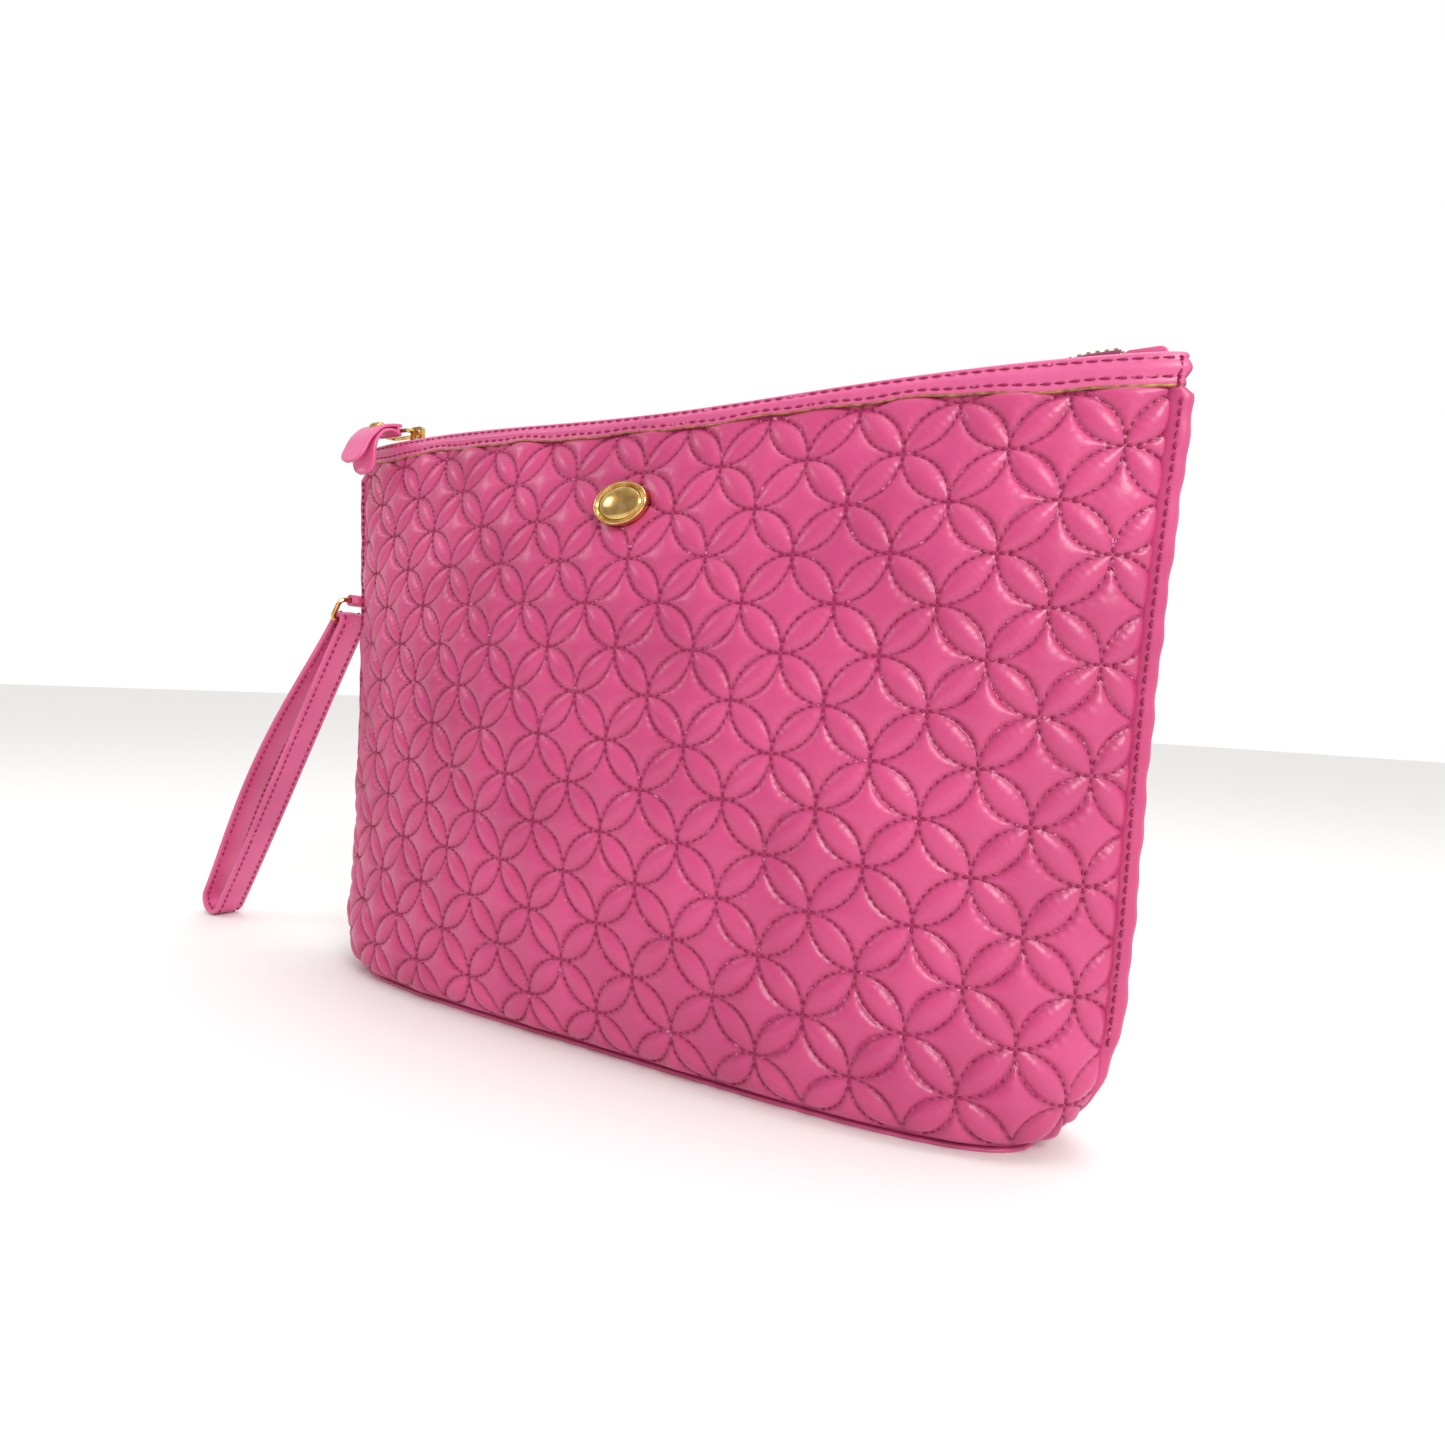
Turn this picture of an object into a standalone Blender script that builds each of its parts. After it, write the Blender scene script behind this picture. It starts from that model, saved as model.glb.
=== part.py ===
"""Quilted makeup bag: a zipped pouch that stands on a flat base, with a hanging zip pull and a wrist strap.

Metres, +Z up, +X along the bag's width, and the front faces -Y.
The origin is the centre of the base's underside.
"""

import math

import bmesh
import bpy
from mathutils import Vector

MM = 0.001

# Driving dimensions of the bag's body, in millimetres.
HALF_FLAT_WIDTH = 145.0  # a front or back panel laid flat, from its middle to the side seam
HEIGHT = 192.0  # base to the walls' own top line, just above the turned band
BELLY_DEPTH = 32.0  # half depth where the body is fullest
BELLY_HEIGHT = 67.0
TOP_DEPTH = 13.4  # half depth across the two bands
FOOT_DEPTH = 27.0  # half depth of the body's foot, before it rolls under
ROLL_RADIUS = 9.0  # the walls roll under to the base
CORNER_RADIUS = 21.0  # the foot's lower corners, seen from the front
BAND_TOP = 189.6
BAND_HEIGHT = 7.0
PANEL_THICK = 3.0  # leather, foam and backing, sewn through
LINING_THICK = 0.6
LINING_GAP = 0.8
GAP = 0.3
CUT_X = 75.0  # the stretch of wall that swings when the mouth is drawn open
SPREAD = 1.5  # how much faster the inner skins shorten than they thin, towards the side seams

# Zip.
RACK_INNER, RACK_OUTER = 0.5, 2.6  # the closed rows of teeth, measured from the middle line
RACK_Z = (187.4, 189.8)
TAPE_Z = (188.3, 188.9)
RACK_END = 121.0
TAPE_END = 118.0
ZIP_CUT = CUT_X - 2.5  # the moving stretch of tape and teeth, inside the bands' slanted ends
STOP_LENGTH = 1.8
TOP_STOP_Z = (187.2, 190.0)
BOTTOM_STOP_Z = (187.0, 190.2)
END_TAB_HALF = 2.0
END_TAB_X = (124.9, 129.6, 141.0)  # the stem's two sides, and the lip's end
END_TAB_Z = (187.0, 190.0, 192.6)  # the stem's foot, and the lip's underside and top
SLIDER_X = -116.0
SLIDER_HALF = (6.0, 3.8)
SLIDER_WEB = 0.2  # half width of the web between the two plates
SLIDER_LIP = 0.9  # how far in from its edge each plate is thicker
LOWER_PLATE_Z = (185.9, 187.1, 188.0)  # underside, top by the web, top at the lip
UPPER_PLATE_Z = (189.2, 190.1, 191.3)  # underside at the lip, underside by the web, top
PLATE_BEVEL = 0.6
CROWN_HALF = 3.0
CROWN_WIDTH = 1.6
CROWN_Z = (191.6, 197.6)
CROWN_HOLE_HALF = 1.9
CROWN_HOLE_Z = (193.2, 196.8)

# Pull: a rectangular wire link through the slider's crown, and a folded leather tab on its front bar.
LINK_WIRE = 0.75
LINK_X = (-133.0, SLIDER_X)
LINK_Y = (-4.5, 3.5)
LINK_Z = 195.6
TAB_CENTRE_X = -124.7
TAB_WIDTH = 12.0
TAB_THICK = 2.8
TAB_FOLD = 2.2  # outer radius of the fold round the bar
TAB_ROUTE = ((-4.5, 195.6), (-8.6, 195.7), (-12.8, 194.2), (-16.2, 190.6), (-19.1, 185.8), (-21.8, 180.6))
RIVET_AT = 0.3  # along the tab
RIVET_HEAD, RIVET_SHAFT, RIVET_DOME = 2.8, 1.1, 1.2

# Wrist strap, hung from a ring on the left side seam. Its lower end rests on the table.
STRAP_TAB_Z = 134.0
STRAP_TAB_HALF = 1.2  # half the thickness of the leather tab that holds the ring
EYE_X = -145.6
EYE_RADIUS = 2.2
EYE_WIDTH = 8.0
STRAP_RING_WIRE = 0.9
STRAP_RING_LENGTH = 9.0
STRAP_RING_HALF = 8.0
STRAP_WIDTH = 12.0
STRAP_THICK = 2.2
STRAP_FOOT = (-230.0, 2.35)  # X and Z of the lowest point of the strap
STRAP_OPEN = 5.6  # half the greatest distance between the two legs' middles

# Badge.
BADGE_Z = 158.5
BADGE_HALF = (9.5, 6.7)
BADGE_THICK = 1.6

FRONT, BACK = -1, 1
SIDES = (("left", -1), ("right", 1))
FACES = (("front", FRONT), ("back", BACK))

WALL_STOPS = (0.8, 2.0, 4.5, 9.0, 16.0, 28.0, 42.0, 58.0, 76.0, 94.0, 112.0, 130.0, 146.0, 160.0, 172.0)
PANEL_TOP = BAND_TOP - BAND_HEIGHT - GAP
LINING_TOP = 185.4
CENTRE_STEPS = 12
SIDE_STEPS = 7

PINK = (0.72, 0.10, 0.27)
DEEP_PINK = (0.60, 0.07, 0.21)
GOLD = (0.83, 0.61, 0.25)
CLOTH = (0.62, 0.50, 0.47)


def clear_scene():
    for obj in list(bpy.data.objects):
        bpy.data.objects.remove(obj, do_unlink=True)


def finish_material(name, colour, roughness, metallic):
    material = bpy.data.materials.new(name)
    material.use_nodes = True
    surface = material.node_tree.nodes["Principled BSDF"]
    surface.inputs["Base Color"].default_value = (*colour, 1.0)
    surface.inputs["Roughness"].default_value = roughness
    surface.inputs["Metallic"].default_value = metallic
    material.diffuse_color = (*colour, 1.0)
    return material


def add_object(name, bm, look, smooth=True):
    """Closes off a bmesh in millimetres as a named object in metres."""
    bm.normal_update()
    bmesh.ops.recalc_face_normals(bm, faces=bm.faces)
    bmesh.ops.scale(bm, vec=(MM, MM, MM), verts=bm.verts)
    mesh = bpy.data.meshes.new(name)
    bm.to_mesh(mesh)
    bm.free()
    obj = bpy.data.objects.new(name, mesh)
    bpy.context.scene.collection.objects.link(obj)
    mesh.materials.append(finish_material(name, *look))
    if smooth:
        mesh.shade_smooth()
        mesh.set_sharp_from_angle(angle=math.radians(35))
    return obj


# ---------------------------------------------------------------- the body's shape


def half_depth(z):
    """Half the bag's depth on its middle line, at a height."""
    if z > BELLY_HEIGHT:
        rise = (z - BELLY_HEIGHT) / (HEIGHT - BELLY_HEIGHT)
        depth = BELLY_DEPTH - (BELLY_DEPTH - TOP_DEPTH) * rise**2.1
    else:
        drop = (BELLY_HEIGHT - z) / BELLY_HEIGHT
        depth = BELLY_DEPTH - (BELLY_DEPTH - FOOT_DEPTH) * drop**2.8
    under = max(0.0, ROLL_RADIUS - z)
    return depth - (ROLL_RADIUS - math.sqrt(max(0.0, ROLL_RADIUS**2 - under**2)))


def section_powers(z):
    """The section is an ellipse through the body, and squarer towards the base."""
    foot = (1 - z / HEIGHT) ** 8
    return 2.0 + 2.4 * foot, 0.62 - 0.27 * foot


def section_depth(share, z, depth):
    power, root = section_powers(z)
    return depth * max(0.0, 1 - abs(share) ** power) ** root


def half_length(z, known={}):
    """Half the section's length. A panel keeps its flat width as it goes round, but for its corners."""
    if z not in known:
        under = max(0.0, CORNER_RADIUS - z)
        flat = HALF_FLAT_WIDTH - CORNER_RADIUS + math.sqrt(CORNER_RADIUS**2 - under**2)
        depth = half_depth(z)
        shares = [1 - (1 - i / 120) ** 3 for i in range(121)]
        low, high = 0.7 * flat, flat
        for _ in range(24):
            middle = (low + high) / 2
            points = [(middle * t, section_depth(t, z, depth)) for t in shares]
            length = sum(math.dist(a, b) for a, b in zip(points, points[1:]))
            low, high = (low, middle) if length > flat else (middle, high)
        known[z] = low
    return known[z]


def skin_point(share, z, face, under):
    """A point of the wall, under millimetres below its outer skin; share is -1 and 1 at the seams."""
    length = half_length(z) - SPREAD * under
    depth = half_depth(z) - under
    lift = under * max(0.0, 1 - z / 12.0) ** 2
    return Vector((share * length, face * section_depth(share, z, depth), z + lift))


def share_at(x, z):
    return x / half_length(z)


def shell(rows, outer, inner):
    """A closed wall between two skins, each of which gives a row of points at a height."""
    bm = bmesh.new()
    skins = []
    for skin in (outer, inner):
        skins.append([[bm.verts.new(point) for point in skin(z)] for z in rows])
    last, width = len(rows) - 1, len(skins[0][0]) - 1
    for i in range(last):
        for j in range(width):
            for k, skin in enumerate(skins):
                corners = (skin[i][j], skin[i][j + 1], skin[i + 1][j + 1], skin[i + 1][j])
                bm.faces.new(corners if k == 0 else corners[::-1])
    a, b = skins
    for i in range(last):
        bm.faces.new((a[i][0], a[i + 1][0], b[i + 1][0], b[i][0]))
        bm.faces.new((a[i + 1][width], a[i][width], b[i][width], b[i + 1][width]))
    for j in range(width):
        bm.faces.new((a[0][j + 1], a[0][j], b[0][j], b[0][j + 1]))
        bm.faces.new((a[last][j], a[last][j + 1], b[last][j + 1], b[last][j]))
    return bm


def centre_row(face, under):
    """The middle stretch of the front or back wall, which swings with the mouth."""
    edge = CUT_X - GAP / 2

    def row(z):
        reach = share_at(edge, z)
        shares = [reach * (2 * i / CENTRE_STEPS - 1) for i in range(CENTRE_STEPS + 1)]
        return [skin_point(share, z, face, under) for share in shares]

    return row


def side_row(side, under):
    """One side of the bag, from the front wall round the side seam to the back wall."""
    edge = CUT_X + GAP / 2

    def row(z):
        start = share_at(edge, z)
        steps = [start + (1 - start) * (1 - (1 - i / SIDE_STEPS) ** 2) for i in range(SIDE_STEPS + 1)]
        front = [skin_point(side * t, z, FRONT, under) for t in steps]
        back = [skin_point(side * t, z, BACK, under) for t in reversed(steps[:-1])]
        return front + back

    return row


def skin_pair(make_row, where, depth, thick):
    return make_row(where, depth), make_row(where, depth + thick)


def make_walls():
    leather = (PINK, 0.38, 0.0)
    cloth = (CLOTH, 0.8, 0.0)
    panel_rows = WALL_STOPS + (PANEL_TOP,)
    lining_rows = WALL_STOPS + (LINING_TOP,)
    band_rows = (PANEL_TOP + GAP, BAND_TOP - BAND_HEIGHT / 2, BAND_TOP)
    under_panel = PANEL_THICK + LINING_GAP
    layers = (
        ("panel", panel_rows, 0.0, PANEL_THICK, leather),
        ("lining", lining_rows, under_panel, LINING_THICK, cloth),
        ("band", band_rows, 0.0, PANEL_THICK, leather),
    )
    for layer, rows, depth, thick, look in layers:
        for name, face in FACES:
            add_object(f"{name}_{layer}", shell(rows, *skin_pair(centre_row, face, depth, thick)), look)
        for name, side in SIDES:
            add_object(f"{name}_side_{layer}", shell(rows, *skin_pair(side_row, side, depth, thick)), look)


# ---------------------------------------------------------------- flat and turned pieces


def plate(outline, low, high):
    """An outline in X and Y, extruded from one height to another."""
    bm = bmesh.new()
    face = bm.faces.new([bm.verts.new((x, y, low)) for x, y in outline])
    top = bmesh.ops.extrude_face_region(bm, geom=[face])
    moved = [v for v in top["geom"] if isinstance(v, bmesh.types.BMVert)]
    bmesh.ops.translate(bm, vec=(0, 0, high - low), verts=moved)
    return bm


def prism_along_x(outline, low, high):
    """An outline in Y and Z, extruded along X."""
    bm = plate(outline, 0.0, high - low)
    for v in bm.verts:
        v.co = Vector((low + v.co.z, v.co.x, v.co.y))
    return bm


def prism_along_y(outline, half_width):
    """An outline in X and Z, extruded along Y about the middle plane."""
    bm = plate(outline, -half_width, half_width)
    for v in bm.verts:
        v.co = Vector((v.co.x, v.co.z, v.co.y))
    return bm


def block(x, y, z):
    return plate(((x[0], y[0]), (x[1], y[0]), (x[1], y[1]), (x[0], y[1])), *z)


def base_outline(length, depth, steps=48):
    points = []
    for face, order in ((FRONT, 1), (BACK, -1)):
        for i in range(steps // 2):
            angle = math.pi * (i / (steps // 2))
            x = -order * length * math.cos(angle)
            points.append((x, face * section_depth(x / length, 0.0, depth)))
    return points


def make_base():
    rim_length, rim_depth = half_length(WALL_STOPS[0]), half_depth(WALL_STOPS[0])
    layers = (
        ("base_panel", 2.0, 1.3, (0.0, 1.2), (PINK, 0.38, 0.0)),
        ("base_board", 6.0, 3.9, (1.5, 2.5), ((0.35, 0.3, 0.26), 0.8, 0.0)),
        ("base_lining", 8.5, 5.4, (2.8, 3.4), (CLOTH, 0.8, 0.0)),
    )
    for name, shorter, narrower, (low, high), look in layers:
        outline = base_outline(rim_length - shorter, rim_depth - narrower)
        add_object(name, plate(outline, low, high), look, smooth=False)


def rounded(points, radius, steps=4):
    """A closed outline with each corner replaced by an arc."""
    result = []
    count = len(points)
    for i in range(count):
        corner = Vector(points[i])
        before = (Vector(points[i - 1]) - corner).normalized()
        after = (Vector(points[(i + 1) % count]) - corner).normalized()
        half = before.angle(after) / 2
        centre = corner + (before + after).normalized() * (radius / math.sin(half))
        start = corner + before * (radius / math.tan(half)) - centre
        turn = start.angle_signed(corner + after * (radius / math.tan(half)) - centre)
        for k in range(steps + 1):
            angle = -turn * k / steps
            c, s = math.cos(angle), math.sin(angle)
            result.append((centre.x + c * start.x - s * start.y, centre.y + s * start.x + c * start.y))
    return result


def add_wire_link(name, corners, radius, bend, to_space, look):
    """A closed rectangular wire link: corners lie in the link's own plane."""
    curve = bpy.data.curves.new(name, "CURVE")
    curve.dimensions = "3D"
    curve.bevel_depth = radius * MM
    curve.bevel_resolution = 2
    outline = rounded(corners, bend, 3)
    spline = curve.splines.new("POLY")
    spline.points.add(len(outline) - 1)
    for point, place in zip(spline.points, outline):
        point.co = (*(to_space(*place) * MM), 1.0)
    spline.use_cyclic_u = True
    obj = bpy.data.objects.new(name, curve)
    bpy.context.scene.collection.objects.link(obj)
    curve.materials.append(finish_material(name, *look))
    return obj


# ---------------------------------------------------------------- zip


def tape_outline(face, low_x, high_x, steps=6):
    """A tape runs from beside its teeth to the band's inner skin, and follows the band's curve."""
    z = sum(TAPE_Z) / 2
    under = PANEL_THICK + GAP
    points = [(low_x, face * (RACK_OUTER + GAP)), (high_x, face * (RACK_OUTER + GAP))]
    for i in range(steps + 1):
        x = high_x + (low_x - high_x) * i / steps
        share = x / (half_length(z) - SPREAD * under)
        points.append((x, face * section_depth(share, z, half_depth(z) - under)))
    return points


def make_zip():
    cloth = (DEEP_PINK, 0.75, 0.0)
    gold = (GOLD, 0.25, 1.0)
    edge = ZIP_CUT - GAP / 2
    for name, face in FACES:
        rack = sorted((face * RACK_INNER, face * RACK_OUTER))
        add_object(f"{name}_zip_tape", plate(tape_outline(face, -edge, edge), *TAPE_Z), cloth, smooth=False)
        add_object(f"{name}_zip_teeth", block((-edge, edge), rack, RACK_Z), gold, smooth=False)
        for side_name, side in SIDES:
            ends = sorted((side * (ZIP_CUT + GAP / 2), side * TAPE_END))
            outline = tape_outline(face, *ends)
            add_object(f"{side_name}_{name}_zip_tape", plate(outline, *TAPE_Z), cloth, smooth=False)
            ends = sorted((side * (ZIP_CUT + GAP / 2), side * RACK_END))
            add_object(f"{side_name}_{name}_zip_teeth", block(ends, rack, RACK_Z), gold, smooth=False)
        stop = (-RACK_END - GAP - STOP_LENGTH, -RACK_END - GAP)
        add_object(f"zip_top_stop_{name}", block(stop, rack, TOP_STOP_Z), gold, smooth=False)
    stop = (RACK_END + GAP, RACK_END + GAP + STOP_LENGTH)
    stop = block(stop, (-RACK_OUTER, RACK_OUTER), BOTTOM_STOP_Z)
    add_object("zip_bottom_stop", stop, gold, smooth=False)


def make_end_tabs():
    """Folded leather over each end of the zip: a stem between the bands and a lip above them."""
    (inner, outer, tip), (foot, lip, top) = END_TAB_X, END_TAB_Z
    outline = ((inner, foot), (outer, foot), (outer, lip), (tip - 0.4, lip), (tip, lip + 1.0))
    outline += ((tip - 1.4, top), (inner + 2.3, top), (inner, lip))
    for name, side in SIDES:
        bm = prism_along_y([(side * x, z) for x, z in outline], END_TAB_HALF)
        add_object(f"{name}_end_tab", bm, (PINK, 0.38, 0.0), smooth=False)


def rectangle(half, heights):
    low, high = heights
    return ((-half, low), (half, low), (half, high), (-half, high))


def make_slider():
    gold = (GOLD, 0.22, 1.0)
    half_x, half_y = SLIDER_HALF
    lip, web, edge = half_y - SLIDER_LIP, SLIDER_WEB, half_y - PLATE_BEVEL
    z0, z1, z2 = UPPER_PLATE_Z
    right = ((web, z1), (lip, z1), (lip, z0), (half_y, z0), (half_y, z2 - PLATE_BEVEL), (edge, z2))
    z0, z1, z2 = LOWER_PLATE_Z
    under = ((edge, z0), (half_y, z0 + PLATE_BEVEL), (half_y, z2), (lip, z2), (lip, z1), (web, z1))
    outline = list(right) + [(-y, z) for y, z in reversed(right)]
    outline += [(-y, z) for y, z in reversed(under)] + list(under)
    body = prism_along_x(outline, SLIDER_X - half_x, SLIDER_X + half_x)
    add_object("slider_body", body, gold, smooth=False)
    outer = rounded(rectangle(CROWN_HALF, CROWN_Z), 1.2)
    crown = prism_along_y([(SLIDER_X + x, z) for x, z in outer], CROWN_WIDTH / 2)
    crown = add_object("slider_crown", crown, gold)
    hole = rounded(rectangle(CROWN_HOLE_HALF, CROWN_HOLE_Z), 0.9)
    cut(crown, prism_along_y([(SLIDER_X + x, z) for x, z in hole], CROWN_WIDTH))


def cut(obj, bm, operation="DIFFERENCE"):
    """A Boolean with a hidden helper."""
    name = f"{obj.name}_{operation.lower()}_{len(obj.modifiers)}"
    helper = add_object(name, bm, (GOLD, 0.5, 0.0), smooth=False)
    helper.hide_render = True
    helper.display_type = "WIRE"
    modifier = obj.modifiers.new(operation.title(), "BOOLEAN")
    modifier.operation = operation
    modifier.object = helper
    modifier.solver = "EXACT"


# ---------------------------------------------------------------- pull


def smooth_route(points, steps):
    """Points of a Catmull-Rom curve through the given ones."""
    given = [Vector(p) for p in points]
    given = [2 * given[0] - given[1]] + given + [2 * given[-1] - given[-2]]
    route = []
    for a, b, c, d in zip(given, given[1:], given[2:], given[3:]):
        for i in range(steps):
            t = i / steps
            bend = (2 * a - 5 * b + 4 * c - d) * t**2 + (3 * b - a - 3 * c + d) * t**3
            route.append(0.5 * (2 * b + (c - a) * t + bend))
    return route + [given[-2]]


def tab_sections():
    """Centre, direction and half width at each step down the pull tab. Its free end is a half circle."""
    route = smooth_route(TAB_ROUTE, 3)[1:]
    half = TAB_WIDTH / 2
    sections = []
    for i, place in enumerate(route):
        to_end = sum((b - a).length for a, b in zip(route[i:], route[i + 1 :]))
        ahead = route[min(i + 1, len(route) - 1)] - route[max(i - 1, 0)]
        inset = max(0.0, half - to_end)
        sections.append((place, ahead.normalized(), max(0.8, math.sqrt(max(0.0, half**2 - inset**2)))))
    return sections


def make_pull():
    gold = (GOLD, 0.22, 1.0)
    (x0, x1), (y0, y1) = LINK_X, LINK_Y
    corners = ((x0, y0), (x1, y0), (x1, y1), (x0, y1))
    add_wire_link("pull_link", corners, LINK_WIRE, 1.8, lambda x, y: Vector((x, y, LINK_Z)), gold)

    sections = tab_sections()
    bm = bmesh.new()
    rings = []
    for place, ahead, half in sections:
        up = Vector((-ahead.y, ahead.x)) * (TAB_THICK / 2)
        up = up if up.y > 0 else -up
        ring = []
        for across, lift in ((-half, -1), (half, -1), (half, 1), (-half, 1)):
            ring.append(bm.verts.new((TAB_CENTRE_X + across, place.x + lift * up.x, place.y + lift * up.y)))
        rings.append(ring)
    for a, b in zip(rings, rings[1:]):
        for k in range(4):
            bm.faces.new((a[k], a[(k + 1) % 4], b[(k + 1) % 4], b[k]))
    bm.faces.new(rings[0][::-1])
    bm.faces.new(rings[-1])
    tab = add_object("pull_tab", bm, (PINK, 0.38, 0.0))
    cut(tab, bar_round(TAB_FOLD, TAB_WIDTH / 2 - 0.2), "UNION")
    cut(tab, bar_round(LINK_WIRE + GAP, TAB_WIDTH / 2 + 1))

    place, normal = rivet_frame(sections)
    bore, reach = RIVET_SHAFT + GAP, 2 * TAB_THICK
    cut(tab, rivet(place, normal, ((0.0, -reach), (bore, -reach), (bore, reach), (0.0, reach))))
    seat = TAB_THICK / 2 + 2 * GAP
    head = [(RIVET_HEAD, seat)]
    for i in range(1, 4):
        angle = math.pi / 2 * i / 4
        head.append((RIVET_HEAD * math.cos(angle), seat + RIVET_DOME * math.sin(angle)))
    head = [(RIVET_SHAFT, seat)] + head + [(0.0, seat + RIVET_DOME)]
    profile = [(r, -z) for r, z in reversed(head)] + head
    add_object("pull_rivet", rivet(place, normal, profile), gold)


def bar_round(radius, half, steps=14):
    """A cylinder along the link's front bar."""
    y, z = TAB_ROUTE[0]
    turns = [2 * math.pi * i / steps for i in range(steps)]
    outline = [(y + radius * math.cos(a), z + radius * math.sin(a)) for a in turns]
    return prism_along_x(outline, TAB_CENTRE_X - half, TAB_CENTRE_X + half)


def rivet_frame(sections):
    place, ahead, _ = sections[round(RIVET_AT * (len(sections) - 1))]
    normal = Vector((0.0, -ahead.y, ahead.x))
    normal = normal if normal.z > 0 else -normal
    return Vector((TAB_CENTRE_X, place.x, place.y)), normal


def rivet(place, normal, profile, steps=16):
    """A turned piece: profile lists radius and height along the normal, from end to end."""
    bm = bmesh.new()
    side = Vector((1.0, 0.0, 0.0))
    other = normal.cross(side)
    rings = []
    for radius, height in profile:
        if radius == 0:
            rings.append([bm.verts.new(place + normal * height)])
            continue
        turns = [2 * math.pi * i / steps for i in range(steps)]
        around = [(side * math.cos(a) + other * math.sin(a)) * radius for a in turns]
        rings.append([bm.verts.new(place + normal * height + offset) for offset in around])
    for a, b in zip(rings, rings[1:]):
        for k in range(steps):
            corners = [a[k % len(a)], a[(k + 1) % len(a)], b[(k + 1) % len(b)], b[k % len(b)]]
            bm.faces.new(list(dict.fromkeys(corners)))
    return bm


# ---------------------------------------------------------------- strap


def strap_down():
    """Unit direction from the side tab's eye to the strap's foot, in X and Z."""
    return (Vector(STRAP_FOOT) - Vector((EYE_X, STRAP_TAB_Z))).normalized()


def make_strap_tab():
    """A leather tab sewn into the side seam, with an eye for the ring."""
    root = -half_length(STRAP_TAB_Z) - 2 * GAP
    reach = EYE_X + EYE_RADIUS * 0.6
    low, high = STRAP_TAB_Z - STRAP_TAB_HALF, STRAP_TAB_Z + STRAP_TAB_HALF
    outline = ((root, low), (root, high), (reach, high), (reach, low))
    tab = add_object("strap_tab", prism_along_y(outline, EYE_WIDTH / 2), (PINK, 0.38, 0.0), smooth=False)
    turns = [2 * math.pi * i / 16 for i in range(16)]
    eye = [(EYE_X + EYE_RADIUS * math.cos(a), STRAP_TAB_Z + EYE_RADIUS * math.sin(a)) for a in turns]
    cut(tab, prism_along_y(eye, EYE_WIDTH / 2 - 0.2), "UNION")
    bore = STRAP_RING_WIRE + GAP
    hole = [(EYE_X + bore * math.cos(a), STRAP_TAB_Z + bore * math.sin(a)) for a in turns]
    cut(tab, prism_along_y(hole, EYE_WIDTH))


def make_strap_ring():
    down = strap_down()

    def place(along, across):
        return Vector((EYE_X + down.x * along, across, STRAP_TAB_Z + down.y * along))

    corners = ((0, -STRAP_RING_HALF), (STRAP_RING_LENGTH, -STRAP_RING_HALF))
    corners += ((STRAP_RING_LENGTH, STRAP_RING_HALF), (0, STRAP_RING_HALF))
    add_wire_link("strap_ring", corners, STRAP_RING_WIRE, 2.0, place, (GOLD, 0.22, 1.0))


def strap_loop(offset, steps=22):
    """The loop's outline at an offset from its middle line: narrow round the ring, wide above the foot."""
    down = strap_down()
    across = Vector((-down.y, down.x))
    top = Vector((EYE_X, STRAP_TAB_Z)) + down * STRAP_RING_LENGTH
    bend = STRAP_RING_WIRE + GAP + STRAP_THICK / 2
    foot = Vector(STRAP_FOOT) + Vector((0.0, STRAP_OPEN + STRAP_THICK / 2))
    length = (foot - top).length
    top_turns = [math.pi / 2 * i / 4 for i in range(4)]
    foot_turns = [math.pi / 2 * i / 6 for i in range(1, 7)]
    middle = [(-bend * math.cos(a), bend * math.sin(a)) for a in top_turns]
    for i in range(steps + 1):
        t = i / steps
        ease = t * t * (3 - 2 * t)
        middle.append((length * t, bend + (STRAP_OPEN - bend) * ease))
    for a in foot_turns:
        middle.append((length + STRAP_OPEN * math.sin(a), STRAP_OPEN * math.cos(a)))
    whole = middle + [(s, -w) for s, w in reversed(middle[1:-1])]
    points = []
    for i, (s, w) in enumerate(whole):
        before, after = whole[i - 1], whole[(i + 1) % len(whole)]
        normal = Vector((before[1] - after[1], after[0] - before[0])).normalized()
        points.append(top + down * (s + normal.x * offset) + across * (w + normal.y * offset))
    return points


def make_strap():
    """Two plies of leather sewn along both edges and folded into a loop through the ring."""
    bm = bmesh.new()
    half = STRAP_WIDTH / 2
    rings = []
    for y, offset in ((-half, 1), (half, 1), (half, -1), (-half, -1)):
        loop = strap_loop(offset * STRAP_THICK / 2)
        rings.append([bm.verts.new((p.x, y, p.y)) for p in loop])
    count = len(rings[0])
    for a, b in zip(rings, rings[1:] + rings[:1]):
        for k in range(count):
            bm.faces.new((a[k], a[(k + 1) % count], b[(k + 1) % count], b[k]))
    add_object("wrist_strap", bm, (PINK, 0.38, 0.0))


# ---------------------------------------------------------------- badge


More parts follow.
